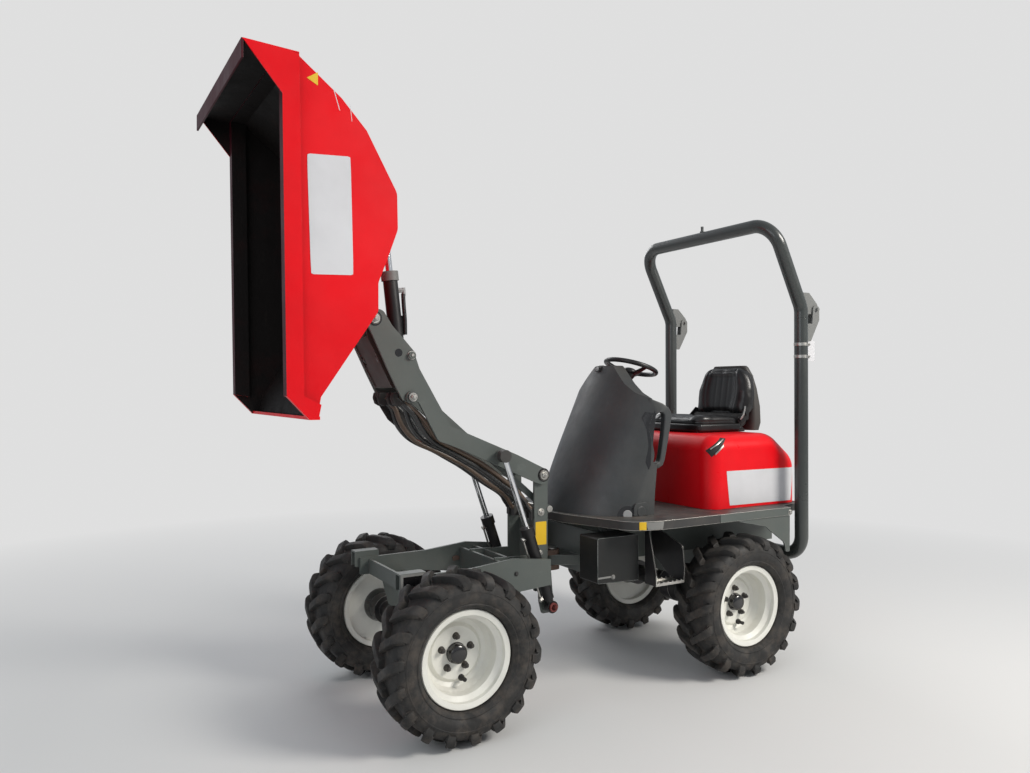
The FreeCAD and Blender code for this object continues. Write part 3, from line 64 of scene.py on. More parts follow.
# The photograph's camera: where it stands, where it looks and its lens
CAMERA_PLACE = (2.3007, 3.7455, 1.5609)
CAMERA_YAW = math.radians(-120.31)
CAMERA_PITCH = math.radians(0.14)
CAMERA_ROLL = math.radians(-0.09)
CAMERA_LENS_MM = 28.31
SENSOR_MM = 36.0

# Paints and finishes, as linear colours
RED = (0.80, 0.004, 0.010)
DARK_GREY = (0.088, 0.102, 0.094)
CREAM = (0.82, 0.815, 0.75)
BLACK_PAINT = (0.014, 0.014, 0.015)
RUBBER = (0.015, 0.0145, 0.014)
PLASTIC = (0.034, 0.038, 0.039)
VINYL = (0.0065, 0.0065, 0.007)
DUST = (0.26, 0.21, 0.165)
STEEL = (0.50, 0.49, 0.46)
CHROME = (0.78, 0.79, 0.81)
YELLOW = (0.80, 0.50, 0.015)
WHITE = (0.64, 0.64, 0.66)
# The skip's inside: dark grime, made darker still as painted shade
SKIP_INSIDE_GRIME_AND_SHADE = (0.0065, 0.0045, 0.0040)
# The front of the skip's rim: red darkened as painted shade
SKIP_RIM_SHADE = (0.060, 0.006, 0.012)
# The carrier plate: dark brown, darkened as painted shade
PLATE_BROWN_AND_SHADE = (0.040, 0.024, 0.019)


def at(x, y, z):
    """A point in millimetres from the machine's zero, as the frame's metres."""
    return Vector((ZERO_X + x / 1000, y / 1000, z / 1000))


def setup_camera():
    data = bpy.data.cameras.new("camera")
    data.sensor_fit = "HORIZONTAL"
    data.sensor_width = SENSOR_MM
    data.lens = CAMERA_LENS_MM
    data.clip_end = 200
    camera = bpy.data.objects.new("camera", data)
    bpy.context.scene.collection.objects.link(camera)
    turn = (Matrix.Rotation(CAMERA_YAW - math.pi / 2, 4, "Z")
            @ Matrix.Rotation(math.pi / 2 + CAMERA_PITCH, 4, "X")
            @ Matrix.Rotation(CAMERA_ROLL, 4, "Z"))
    camera.matrix_world = Matrix.Translation(CAMERA_PLACE) @ turn
    bpy.context.scene.camera = camera


# Materials

class Shader:
    """A node material that is built up step by step around one principled shader."""

    def __init__(self, name, color, roughness, metallic=0.0):
        self.material = bpy.data.materials.new(name)
        self.material.use_nodes = True
        self.nodes = self.material.node_tree.nodes
        self.links = self.material.node_tree.links
        self.main = self.nodes["Principled BSDF"]
        self.main.inputs["Metallic"].default_value = metallic
        self.main.inputs["Base Color"].default_value = (*color, 1)
        self.main.inputs["Roughness"].default_value = roughness
        self.coords = self.nodes.new("ShaderNodeTexCoord").outputs["Object"]
        self.color = None
        self.plain = (*color, 1)
        self.height = None

    def noise(self, scale, detail=4.0, roughness=0.6, stretch=None):
        source = self.coords
        if stretch:
            mapping = self.nodes.new("ShaderNodeMapping")
            mapping.inputs["Scale"].default_value = stretch
            self.links.new(source, mapping.inputs["Vector"])
            source = mapping.outputs["Vector"]
        node = self.nodes.new("ShaderNodeTexNoise")
        node.inputs["Scale"].default_value = scale
        node.inputs["Detail"].default_value = detail
        node.inputs["Roughness"].default_value = roughness
        self.links.new(source, node.inputs["Vector"])
        return node.outputs["Fac"]

    def cells(self, scale):
        node = self.nodes.new("ShaderNodeTexVoronoi")
        node.inputs["Scale"].default_value = scale
        self.links.new(self.coords, node.inputs["Vector"])
        return node.outputs["Distance"]

    def ramp(self, source, low, high, out_low=0.0, out_high=1.0):
        node = self.nodes.new("ShaderNodeMapRange")
        node.inputs["From Min"].default_value = low
        node.inputs["From Max"].default_value = high
        node.inputs["To Min"].default_value = out_low
        node.inputs["To Max"].default_value = out_high
        self.links.new(source, node.inputs["Value"])
        return node.outputs["Result"]

    def math(self, kind, a, b):
        node = self.nodes.new("ShaderNodeMath")
        node.operation = kind
        for socket, value in zip(node.inputs, (a, b)):
            if hasattr(value, "links"):
                self.links.new(value, socket)
            else:
                socket.default_value = value
        return node.outputs[0]

    def part_of(self, name, axis):
        """A component of the place or of the normal."""
        source = self.coords
        if name == "Normal":
            source = self.nodes.new("ShaderNodeNewGeometry").outputs["Normal"]
        split = self.nodes.new("ShaderNodeSeparateXYZ")
        self.links.new(source, split.inputs[0])
        return split.outputs[axis]

    def blend(self, color, mask):
        """Lays a second colour over what is there where the mask is high."""
        mix = self.nodes.new("ShaderNodeMix")
        mix.data_type = "RGBA"
        self.links.new(mask, mix.inputs["Factor"])
        if self.color is None:
            mix.inputs["A"].default_value = self.plain
        else:
            self.links.new(self.color, mix.inputs["A"])
        mix.inputs["B"].default_value = (*color, 1)
        self.color = mix.outputs["Result"]
        self.links.new(self.color, self.main.inputs["Base Color"])

    def rough(self, source):
        self.links.new(source, self.main.inputs["Roughness"])

    def metal(self, source):
        self.links.new(source, self.main.inputs["Metallic"])

    def glance(self, level):
        self.main.inputs["Specular IOR Level"].default_value = level

    def coat(self, weight, roughness):
        self.main.inputs["Coat Weight"].default_value = weight
        self.main.inputs["Coat Roughness"].default_value = roughness

    def bump(self, source, distance, strength=1.0):
        node = self.nodes.new("ShaderNodeBump")
        node.inputs["Distance"].default_value = distance
        node.inputs["Strength"].default_value = strength
        self.links.new(source, node.inputs["Height"])
        if self.height is not None:
            self.links.new(self.height, node.inputs["Normal"])
        self.height = node.outputs["Normal"]
        self.links.new(self.height, self.main.inputs["Normal"])


def dusty(shader, amount, scale=5.0, top=0.45):
    """Dust in blotches, more of it low down and on what faces up."""
    blotch = shader.ramp(shader.noise(scale, 8, 0.65), 0.42, 0.72)
    low = shader.ramp(shader.part_of("Position", "Z"), 0.1, 1.3, 1.0, top)
    facing = shader.ramp(shader.part_of("Normal", "Z"), 0.2, 1.0, 0.65, 1.6)
    spread = shader.math("MULTIPLY", shader.math("MULTIPLY", blotch, low), facing)
    shader.blend(DUST, shader.math("MULTIPLY", spread, amount))


def paint(name, color, gloss=0.32, dust=0.16, wear=0.5, coat=0.0, glance=0.5):
    shader = Shader(name, color, gloss)
    shader.glance(glance)
    darker = tuple(c * 0.62 for c in color)
    shader.blend(darker, shader.ramp(shader.noise(2.2, 6, 0.6), 0.35, 0.8, 0.0, 0.5))
    dusty(shader, dust)
    chips = shader.ramp(shader.noise(46, 9, 0.72), 0.70, 0.74)
    shader.blend((0.05, 0.04, 0.035), shader.math("MULTIPLY", chips, wear))
    scratches = shader.ramp(shader.noise(9, 5, 0.6, (1, 9, 2)), 0.64, 0.72, 0.0, 0.25 * wear)
    shader.blend(tuple(min(1, c * 1.6 + 0.03) for c in color), scratches)
    scuffs = shader.ramp(shader.noise(17, 8, 0.75, (1, 1, 3)), 0.735, 0.76, 0.0, wear)
    shader.blend(tuple(min(1, c + 0.28) for c in color), scuffs)
    shader.rough(shader.ramp(shader.noise(7, 7, 0.6), 0.25, 0.8, gloss - 0.05, gloss + 0.18))
    shader.bump(shader.noise(160, 3, 0.5), 0.0006, 0.25)
    shader.bump(shader.noise(4, 3, 0.5), 0.010, 0.18)
    shader.coat(coat, 0.12)
    return shader.material


def worn_edge(name, color, bright, share):
    """Paint that has rubbed through to metal or primer along the part's edges."""
    shader = Shader(name, color, 0.42)
    mask = shader.ramp(shader.noise(14, 9, 0.72), 0.60 - 0.30 * share, 0.70 - 0.24 * share)
    shader.blend(bright, mask)
    shader.metal(shader.ramp(mask, 0.0, 1.0, 0.0, 0.55))
    shader.rough(shader.ramp(shader.noise(40, 6, 0.6), 0.3, 0.7, 0.30, 0.52))
    shader.bump(shader.noise(190, 4, 0.6), 0.0006, 0.4)
    return shader.material


def rubber(name, color, dust):
    shader = Shader(name, color, 0.75)
    dusty(shader, dust, 7.0, 0.7)
    shader.blend((0.055, 0.050, 0.045), shader.ramp(shader.noise(26, 8, 0.7), 0.48, 0.76, 0.0, 0.6))
    shader.rough(shader.ramp(shader.noise(12, 6, 0.6), 0.3, 0.7, 0.60, 0.88))
    shader.bump(shader.noise(220, 4, 0.6), 0.0008, 0.5)
    shader.bump(shader.noise(30, 5, 0.6), 0.003, 0.35)
    return shader.material


def tyre_rubber():
    """Black rubber, brown with dried soil on the tread and low down."""
    shader = Shader("tyre_rubber", RUBBER, 0.75)
    shader.blend((0.038, 0.036, 0.034), shader.ramp(shader.noise(9, 8, 0.7), 0.40, 0.75, 0.0, 0.8))
    soil = shader.ramp(shader.noise(13, 9, 0.7), 0.46, 0.66)
    level = shader.ramp(shader.part_of("Position", "Z"), 0.0, 0.75, 0.75, 0.45)
    shader.blend((0.17, 0.135, 0.105), shader.math("MULTIPLY", shader.math("MULTIPLY", soil, level), 0.42))
    shader.blend((0.010, 0.010, 0.010), shader.ramp(shader.noise(5, 6, 0.6), 0.56, 0.70, 0.0, 0.5))
    shader.rough(shader.ramp(shader.noise(12, 6, 0.6), 0.3, 0.7, 0.52, 0.90))
    shader.bump(shader.noise(240, 4, 0.6), 0.0010, 0.5)
    shader.bump(shader.noise(34, 6, 0.65), 0.004, 0.45)
    return shader.material


def hose_rubber():
    shader = Shader("hose", (0.012, 0.012, 0.012), 0.30)
    shader.blend((0.05, 0.045, 0.04), shader.ramp(shader.noise(24, 7, 0.7), 0.52, 0.76, 0.0, 0.6))
    shader.rough(shader.ramp(shader.noise(30, 5, 0.6), 0.3, 0.7, 0.22, 0.42))
    shader.bump(shader.cells(380), 0.0006, 0.25)
    shader.coat(0.3, 0.2)
    return shader.material


def skip_inside():
    """The skip's inside: dark with grime and with painted shade, scraped by loads, with a little red left."""
    shader = Shader("skip_inside", SKIP_INSIDE_GRIME_AND_SHADE, 0.55)
    shader.blend((0.040, 0.006, 0.005), shader.ramp(shader.noise(3.2, 8, 0.7), 0.52, 0.80, 0.0, 0.5))
    shader.blend((0.034, 0.026, 0.021), shader.ramp(shader.noise(15, 8, 0.7, (3, 1, 0.4)), 0.60, 0.72, 0.0, 0.4))
    shader.rough(shader.ramp(shader.noise(8, 7, 0.6), 0.3, 0.75, 0.55, 0.80))
    shader.glance(0.25)
    shader.bump(shader.noise(70, 6, 0.6), 0.002, 0.4)
    shader.bump(shader.noise(6, 4, 0.5), 0.014, 0.3)
    return shader.material


def moulded_plastic():
    shader = Shader("cowl_plastic", PLASTIC, 0.45)
    shader.blend((0.066, 0.072, 0.074), shader.ramp(shader.noise(3, 7, 0.65), 0.42, 0.8, 0.0, 0.6))
    dusty(shader, 0.12, 4.0, 0.8)
    shader.blend((0.13, 0.13, 0.13), shader.ramp(shader.noise(11, 7, 0.7, (1, 1, 0.25)), 0.66, 0.72, 0.0, 0.30))
    shader.rough(shader.ramp(shader.noise(9, 6, 0.6), 0.3, 0.75, 0.34, 0.56))
    shader.bump(shader.cells(420), 0.0006, 0.35)
    shader.bump(shader.noise(5, 3, 0.5), 0.012, 0.22)
    return shader.material


def vinyl():
    shader = Shader("seat_vinyl", VINYL, 0.34)
    shader.blend((0.018, 0.018, 0.018), shader.ramp(shader.noise(12, 8, 0.7), 0.5, 0.8, 0.0, 0.5))
    dusty(shader, 0.03, 6.0, 0.9)
    shader.glance(0.4)
    shader.rough(shader.ramp(shader.noise(16, 6, 0.6), 0.3, 0.75, 0.32, 0.44))
    shader.bump(shader.cells(520), 0.0004, 0.25)
    shader.coat(0.20, 0.22)
    return shader.material


def bare_metal(name, color, roughness, grime=0.4, brushed=(1, 1, 1)):
    shader = Shader(name, color, roughness, 1.0)
    shader.blend((0.09, 0.07, 0.055), shader.ramp(shader.noise(20, 8, 0.7), 0.52, 0.75, 0.0, grime))
    shader.rough(shader.ramp(shader.noise(60, 4, 0.6, brushed), 0.2, 0.8, roughness * 0.7, roughness * 1.5))
    shader.bump(shader.noise(300, 3, 0.6, brushed), 0.0003, 0.3)
    return shader.material


def deck_plate():
    """Dark painted plate, worn and soiled where boots tread."""
    shader = Shader("deck_plate", (0.050, 0.052, 0.050), 0.42)
    shader.blend((0.16, 0.13, 0.105), shader.ramp(shader.noise(5, 9, 0.68), 0.44, 0.70, 0.0, 0.75))
    shader.blend((0.24, 0.23, 0.22), shader.ramp(shader.noise(24, 9, 0.75), 0.64, 0.70, 0.0, 0.55))
    shader.rough(shader.ramp(shader.noise(9, 7, 0.6), 0.3, 0.75, 0.34, 0.66))
    shader.bump(shader.noise(90, 5, 0.6), 0.0012, 0.4)
    return shader.material


MATERIALS = {}
EDGES = {}


def make_materials():
    MATERIALS.update({
        "red_paint": paint("red_paint", RED, 0.30, 0.04, 0.20, 0.08, 0.18),
        "grey_paint": paint("grey_paint", DARK_GREY, 0.38, 0.16, 0.6),
        "cream_paint": paint("cream_paint", CREAM, 0.32, 0.22, 0.25),
        "black_paint": paint("black_paint", BLACK_PAINT, 0.36, 0.10, 0.4, 0.0, 0.4),
        "tyre_rubber": tyre_rubber(),
        # Black rubber, also used for sheets of painted shade
        "black_rubber": rubber("black_rubber", RUBBER, 0.06),
        "cowl_plastic": moulded_plastic(),
        "seat_vinyl": vinyl(),
        "chrome_rod": bare_metal("chrome_rod", CHROME, 0.10, 0.10),
        # Bare steel, also used for strips of painted highlight
        "steel": bare_metal("steel", STEEL, 0.34, 0.45),
        "iron": paint("iron", (0.035, 0.034, 0.033), 0.55, 0.25, 0.7),
        "rust": paint("rust", (0.135, 0.085, 0.064), 0.55, 0.30, 0.7),
        "worn_bright": paint("worn_bright", (0.22, 0.22, 0.21), 0.45, 0.25, 0.8),
        "yellow_label": paint("yellow_label", YELLOW, 0.40, 0.05, 0.10),
        "white_label": paint("white_label", WHITE, 0.36, 0.08, 0.06),
        "hose": hose_rubber(),
        # The skip's inside is dark with grime and with painted shade
        "skip_inside": skip_inside(),
        # Painted shade on the front of the skip's rim and on its lip
        "skip_rim_shade": paint("skip_rim_shade", SKIP_RIM_SHADE, 0.42, 0.10, 0.5, 0.0, 0.2),
        # The carrier plate's dark brown, darkened as painted shade
        "plate_brown_and_shade": paint("plate_brown_and_shade", PLATE_BROWN_AND_SHADE, 0.50, 0.22, 0.7),
        "deck_plate": deck_plate(),
        "tube_grey": paint("tube_grey", (0.040, 0.046, 0.044), 0.26, 0.05, 0.3, 0.4),
        # Glossy black of the hubs and caps, also used for sheets of painted shade
        "hub_black": paint("hub_black", (0.008, 0.008, 0.009), 0.16, 0.05, 0.1, 0.6),
        # The side tanks' grey, darkened as painted shade under the deck
        "tank_grey_and_shade": paint("tank_grey_and_shade", (0.012, 0.013, 0.013), 0.42, 0.08, 0.35, 0.0, 0.35),
        "dull_grey": paint("dull_grey", (0.17, 0.175, 0.17), 0.5, 0.20, 0.6),
        "dull_red": paint("dull_red", (0.20, 0.035, 0.030), 0.50, 0.25, 0.5),
        "seat_shell": paint("seat_shell", (0.050, 0.047, 0.043), 0.50, 0.15, 0.2),
        # Brown hose sleeves, lightened as painted reflection
        "sleeve_and_reflection": paint("sleeve_and_reflection", (0.110, 0.075, 0.052), 0.32, 0.10, 0.3),
        "wheel_black": paint("wheel_black", (0.010, 0.010, 0.011), 0.34, 0.04, 0.2),
        "pale_plastic": paint("pale_plastic", (0.34, 0.35, 0.35), 0.42, 0.10, 0.2),
    })
    EDGES.update({
        "red_paint": worn_edge("red_edge", RED, (0.72, 0.30, 0.28), 0.25),
        "grey_paint": worn_edge("grey_edge", DARK_GREY, (0.34, 0.35, 0.34), 0.55),
        "cream_paint": MATERIALS["cream_paint"],
        "black_paint": worn_edge("black_edge", BLACK_PAINT, (0.30, 0.29, 0.27), 0.55),
        "iron": worn_edge("iron_edge", (0.05, 0.048, 0.046), (0.32, 0.30, 0.27), 0.5),
        "bright": worn_edge("bright_edge", (0.10, 0.10, 0.10), (0.62, 0.60, 0.55), 1.35),
        "tube_grey": MATERIALS["tube_grey"],
    })


# Pieces

def link(name, mesh):
    piece = bpy.data.objects.new(name, mesh)
    bpy.context.scene.collection.objects.link(piece)
    return piece


def smooth_by_angle(mesh, degrees):
    mesh.shade_smooth()
    mesh.set_sharp_from_angle(angle=math.radians(degrees))


def even_normals(piece):
    """Keeps wide flat faces flat to the light where narrow rounded edges meet them."""
    weigh = piece.modifiers.new("weigh", "WEIGHTED_NORMAL")
    weigh.keep_sharp = True
    weigh.weight = 60
    with bpy.context.temp_override(object=piece, active_object=piece):
        bpy.ops.object.modifier_apply(modifier=weigh.name)


def make_piece(name, bm, body, slot, degrees=35, materials=None):
    """Turns a worked-up mesh into a piece that rides on a body."""
    mesh = bpy.data.meshes.new(name)
    bmesh.ops.recalc_face_normals(bm, faces=bm.faces)
    bm.to_mesh(mesh)
    bm.free()
    smooth_by_angle(mesh, degrees)
    for key in materials or [slot]:
        mesh.materials.append(MATERIALS[key] if isinstance(key, str) else key)
    piece = link(name, mesh)
    even_normals(piece)
    if body:
        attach(piece, body)
    return piece


def cleaned(bm):
    """Joins the split corners and faces of an imported solid."""
    bmesh.ops.remove_doubles(bm, verts=bm.verts, dist=2e-6)
    bmesh.ops.dissolve_limit(bm, angle_limit=math.radians(0.6), verts=bm.verts, edges=bm.edges)


def soften(node, look=None, edge=None, width=0.002, segments=2, angle=28.0, sort_faces=None, extra=()):
    """The node's own shape with its sharp edges rounded and worn, standing in its place."""
    slot = NODE_SLOT[node]
    look = look or slot
    bm = bmesh.new()
    bm.from_mesh(NODES[node].data)
    cleaned(bm)
    for face in bm.faces:
        face.material_index = 0
        if sort_faces:
            face.material_index = sort_faces(face)
    edges = [e for e in bm.edges if e.is_manifold and e.calc_face_angle(0) > math.radians(angle)]
    made = bmesh.ops.bevel(bm, geom=edges, offset=width, offset_type="OFFSET", segments=segments, profile=0.6,
                           affect="EDGES", clamp_overlap=True)
    edge_look = EDGES.get(edge or look)
    bm.normal_update()
    for face in made["faces"]:
        face.material_index = sort_faces(face) if sort_faces else 0
        if edge_look and face.material_index == 0:
            face.material_index = 1
    piece = make_piece(node + "_skin", bm, BODY_OF[node], slot, 40,
                       [look, edge_look or look] + list(extra))
    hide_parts(node)
    return piece


def turned(bm, centre, axis, profile, sides=24, spin=0.0):
    """Adds a body of revolution, or a prism where sides are few: profile is (distance along axis, radius)."""
    axis = Vector(axis).normalized()
    turn = axis.to_track_quat("Z", "Y").to_matrix()
    rings = []
    for along, radius in profile:
        ring = []
        for i in range(sides):
            angle = spin + 2 * math.pi * i / sides
            offset = turn @ Vector((radius * math.cos(angle), radius * math.sin(angle), along))
            ring.append(bm.verts.new(Vector(centre) + offset))
        rings.append(ring)
    for low, high in zip(rings, rings[1:]):
        for i in range(sides):
            k = (i + 1) % sides
            bm.faces.new((low[i], low[k], high[k], high[i]))
    bm.faces.new(list(reversed(rings[0])))
    bm.faces.new(rings[-1])


def hex_nut(bm, centre, axis, across, height, washer=1.35, stud=0.0, spin=0.2):
    """Adds a washer, a chamfered hexagon and, where it has one, the stud's end, all standing on centre."""
    r = across / 2
    turned(bm, centre, axis, [(0, r * washer), (0.0016, r * washer), (0.0020, r * washer - 0.0006)], 24)
    foot = Vector(centre) + Vector(axis).normalized() * 0.0018
    turned(bm, foot, axis, [(0, r), (height * 0.8, r), (height, r * 0.84)], 6, spin)
    if stud:
        turned(bm, foot, axis, [(height * 0.6, r * 0.5), (height + stud, r * 0.5), (height + stud + 0.001, r * 0.4)],
               16)


def prism(bm, corners, offset):
    """Adds a plate: a flat outline and how far it is thick."""
    low = [bm.verts.new(c) for c in corners]
    high = [bm.verts.new(Vector(c) + Vector(offset)) for c in corners]
    bm.faces.new(list(reversed(low)))
    bm.faces.new(high)
    count = len(low)
    for i in range(count):
        k = (i + 1) % count
        bm.faces.new((low[i], low[k], high[k], high[i]))


def loop_plate(bm, outer, inner, low_y, high_y):
    """Adds an upright plate with a hole: both outlines run the same way round with as many corners."""
    rings = [[bm.verts.new(at(x, y, z)) for x, z in loop] for y in (low_y, high_y) for loop in (outer, inner)]
    count = len(outer)
    for a, b in ((0, 1), (2, 0), (3, 2), (1, 3)):
        for i in range(count):
            k = (i + 1) % count
            bm.faces.new((rings[a][i], rings[a][k], rings[b][k], rings[b][i]))


def lofted(bm, sections):
    """Adds a closed skin through rings of as many points each."""
    rings = [[bm.verts.new(p) for p in section] for section in sections]
    count = len(rings[0])
    for low, high in zip(rings, rings[1:]):
        for i in range(count):
            k = (i + 1) % count
            bm.faces.new((low[i], low[k], high[k], high[i]))
    bm.faces.new(list(reversed(rings[0])))
    bm.faces.new(rings[-1])


def strip_decal(bm, node, left, right, away, lift, thick, columns):
    """Adds a thin sheet that lies on a node's surface between two lines of as many points."""
    for (a, b), (c, d) in zip(zip(left, right), zip(left[1:], right[1:])):
        decal(bm, node, [a, b, d, c], away, lift, thick, columns, 3, 0.0)


def bevelled(bm, width, segments=2, angle=30.0):
    bmesh.ops.recalc_face_normals(bm, faces=bm.faces)
    edges = [e for e in bm.edges if e.is_manifold and e.calc_face_angle(0) > math.radians(angle)]
    bmesh.ops.bevel(bm, geom=edges, offset=width, offset_type="OFFSET", segments=segments, profile=0.6,
                    affect="EDGES", clamp_overlap=True)


def route(points, steps):
    """Points along the smooth curve through a short list of control points."""
    curve = bpy.data.curves.new("route", "CURVE")
    curve.dimensions = "3D"
    spline = curve.splines.new("NURBS")
    spline.points.add(len(points) - 1)
    for knot, place in zip(spline.points, points):
        knot.co = (*place, 1)
    spline.order_u = 3
    spline.use_endpoint_u = True
    curve.resolution_u = steps
    holder = bpy.data.objects.new("route", curve)
    mesh = bpy.data.meshes.new_from_object(holder)
    line = [v.co.copy() for v in mesh.vertices]
    bpy.data.objects.remove(holder)
    bpy.data.meshes.remove(mesh)
    return line


def tube(bm, points, radius, sides=12, steps=8):
    """Adds a round tube along a smooth curve."""
    line = route(points, steps)
    ahead = (line[1] - line[0]).normalized()
    side = ahead.orthogonal().normalized()
    rings = []
    for i, place in enumerate(line):
        before = line[max(i - 1, 0)]
        after = line[min(i + 1, len(line) - 1)]
        ahead = (after - before).normalized()
        side = (side - ahead * side.dot(ahead)).normalized()
        up = ahead.cross(side)
        ring = []
        for k in range(sides):
            angle = 2 * math.pi * k / sides
            ring.append(bm.verts.new(place + radius * (math.cos(angle) * side + math.sin(angle) * up)))
        rings.append(ring)
    for low, high in zip(rings, rings[1:]):
        for i in range(sides):
            k = (i + 1) % sides
            bm.faces.new((low[i], low[k], high[k], high[i]))
    bm.faces.new(list(reversed(rings[0])))
    bm.faces.new(rings[-1])
    return line


TREES = {}


def surface_of(node):
    if node not in TREES:
        mesh = NODES[node].data
        TREES[node] = BVHTree.FromPolygons([v.co for v in mesh.vertices], [p.vertices for p in mesh.polygons])
    return TREES[node]


def decal(bm, node, corners, away, lift=0.0003, thick=0.0009, columns=16, rows=8, corner=0.12):
    """Adds a thin sheet that lies on a node's surface between four corners, seen from the side it faces."""
    away = Vector(away).normalized()
    a, b, c, d = (Vector(p) for p in corners)
    tree = surface_of(node)
    top = []
    for j in range(rows + 1):
        line = []
        for i in range(columns + 1):
            u = i / columns
            v = j / rows
            # Rounded corners: the outer rows draw in near their ends
            place = (a * (1 - u) + b * u) * (1 - v) + (d * (1 - u) + c * u) * v
            middle = (a + b + c + d) / 4
            if i in (0, columns) and j in (0, rows):
                place = place.lerp(middle, corner * 2 / columns)
            hit = tree.ray_cast(place + away * 0.3, -away)
            base = hit[0] if hit[0] is not None else place
            line.append(base)
        top.append(line)
    low = [[bm.verts.new(p + away * lift) for p in line] for line in top]
    high = [[bm.verts.new(p + away * (lift + thick)) for p in line] for line in top]
    for j in range(rows):
        for i in range(columns):
            bm.faces.new((high[j][i], high[j][i + 1], high[j + 1][i + 1], high[j + 1][i]))
            bm.faces.new((low[j][i], low[j + 1][i], low[j + 1][i + 1], low[j][i + 1]))
    rim_low = low[0] + [r[-1] for r in low[1:]] + low[-1][-2::-1] + [r[0] for r in low[-2:0:-1]]
    rim_high = high[0] + [r[-1] for r in high[1:]] + high[-1][-2::-1] + [r[0] for r in high[-2:0:-1]]
    for i in range(len(rim_low)):
        k = (i + 1) % len(rim_low)
        bm.faces.new((rim_low[i], rim_low[k], rim_high[k], rim_high[i]))


def label(name, node, corners, away, slot):
    bm = bmesh.new()
    decal(bm, node, corners, away)
    piece = make_piece(name, bm, BODY_OF[node], slot, 30)
    return piece


# Wheels

TYRE_RADIUS = 0.380
LUG_COUNT = 18
RING_STEPS = 108
# One half of the tyre's section, radius and distance from its middle: bead, sidewall with its two raised
# rings, shoulder and crown
TYRE_SECTION = [
    (0.2005, 0.0000), (0.2005, 0.0827), (0.2225, 0.0829), (0.2235, 0.0950), (0.2290, 0.1040), (0.2380, 0.1125),
    (0.2420, 0.1168), (0.2455, 0.1172), (0.2480, 0.1156), (0.2580, 0.1212), (0.2700, 0.1252), (0.2820, 0.1262),
    (0.2960, 0.1248), (0.2975, 0.1262), (0.3015, 0.1258), (0.3030, 0.1238), (0.3160, 0.1206), (0.3280, 0.1150),
    (0.3370, 0.1070), (0.3430, 0.0960), (0.3465, 0.0780), (0.3490, 0.0450), (0.3500, 0.0000)]
# Along a lug from its nose to its foot: distance from the middle, top radius, half width at the top and at the foot
LUG_STATIONS = [
    (-0.0080, 0.3745, 0.0165, 0.0225), (-0.0050, 0.3785, 0.0180, 0.0235), (0.0000, 0.3798, 0.0190, 0.0240),
    (0.0300, 0.3796, 0.0195, 0.0250), (0.0650, 0.3780, 0.0205, 0.0270), (0.0920, 0.3755, 0.0215, 0.0290),
    (0.1060, 0.3715, 0.0220, 0.0300), (0.1180, 0.3620, 0.0222, 0.0305), (0.1262, 0.3500, 0.0225, 0.0308),
    (0.1305, 0.3380, 0.0225, 0.0308), (0.1300, 0.3260, 0.0215, 0.0300), (0.1262, 0.3140, 0.0190, 0.0285)]
LUG_ROOT = 0.338
LUG_SWEEP = 0.092
LUG_LENGTH = 0.140
NOSE_CORNER = 0.066


def add_carcass(bm):
    outline = TYRE_SECTION + [(r, -y) for r, y in reversed(TYRE_SECTION[1:-1])]
    rings = []
    for i in range(RING_STEPS):
        angle = 2 * math.pi * i / RING_STEPS
        rings.append([bm.verts.new((r * math.cos(angle), y, r * math.sin(angle))) for r, y in outline])
    for i in range(RING_STEPS):
        ring = rings[i]
        after = rings[(i + 1) % RING_STEPS]
        for j in range(len(outline)):
            k = (j + 1) % len(outline)
            bm.faces.new((ring[j], ring[k], after[k], after[j]))


def add_lug(bm, side, turn):
    """A slanting lug: across it run a foot, a rounded edge, the top, the other edge and foot."""
    rows = []
    for i, (out, top, half_top, half_foot) in enumerate(LUG_STATIONS):
        along = LUG_SWEEP / 2 - LUG_SWEEP * min((out + 0.008) / LUG_LENGTH, 1.0)
        wall = min(LUG_ROOT, top - 0.018)
        inward = 0.0
        if i > 8:
            # Down the sidewall the foot lies inside the carcass, and the top is its outer face
            inward = 0.020
            wall = top
        across = [(-half_foot, wall, inward), (-half_top - 0.0022, top - 0.0045, 0.003 * (i > 8)),
                  (-half_top + 0.0010, top - 0.0008, 0.0), (-half_top * 0.5, top, 0.0), (half_top * 0.5, top, 0.0),
                  (half_top - 0.0010, top - 0.0008, 0.0), (half_top + 0.0022, top - 0.0045, 0.003 * (i > 8)),
                  (half_foot, wall, inward)]
        row = []
        for x, radius, draw in across:
            angle = math.asin((along + x) / TYRE_RADIUS) + turn
            row.append(bm.verts.new((radius * math.sin(angle), side * (out - draw), radius * math.cos(angle))))
        rows.append(row)
    for low, high in zip(rows, rows[1:]):
        for i in range(len(low) - 1):
            bm.faces.new((low[i], low[i + 1], high[i + 1], high[i]))
        bm.faces.new((low[-1], low[0], high[0], high[-1]))
    bm.faces.new(list(reversed(rows[0])))
    bm.faces.new(rows[-1])


def make_tyre(node):
    low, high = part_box(node)
    centre = (low + high) / 2
    hand = 1 if centre.y > 0 else -1
    bm = bmesh.new()
    add_carcass(bm)
    pitch = 2 * math.pi / LUG_COUNT
    whole = math.pi - pitch * (LUG_COUNT // 2 + 0.25) - math.asin(NOSE_CORNER / TYRE_RADIUS)
    for side in (1, -1):
        for i in range(LUG_COUNT):
            add_lug(bm, side, pitch * (i + side / 4) + whole)
    for vert in bm.verts:
        vert.co = Vector((vert.co.x, vert.co.y * hand, vert.co.z)) + centre
    piece = make_piece(node + "_detail", bm, BODY_OF[node], "tyre_rubber", 38)
    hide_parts(node)


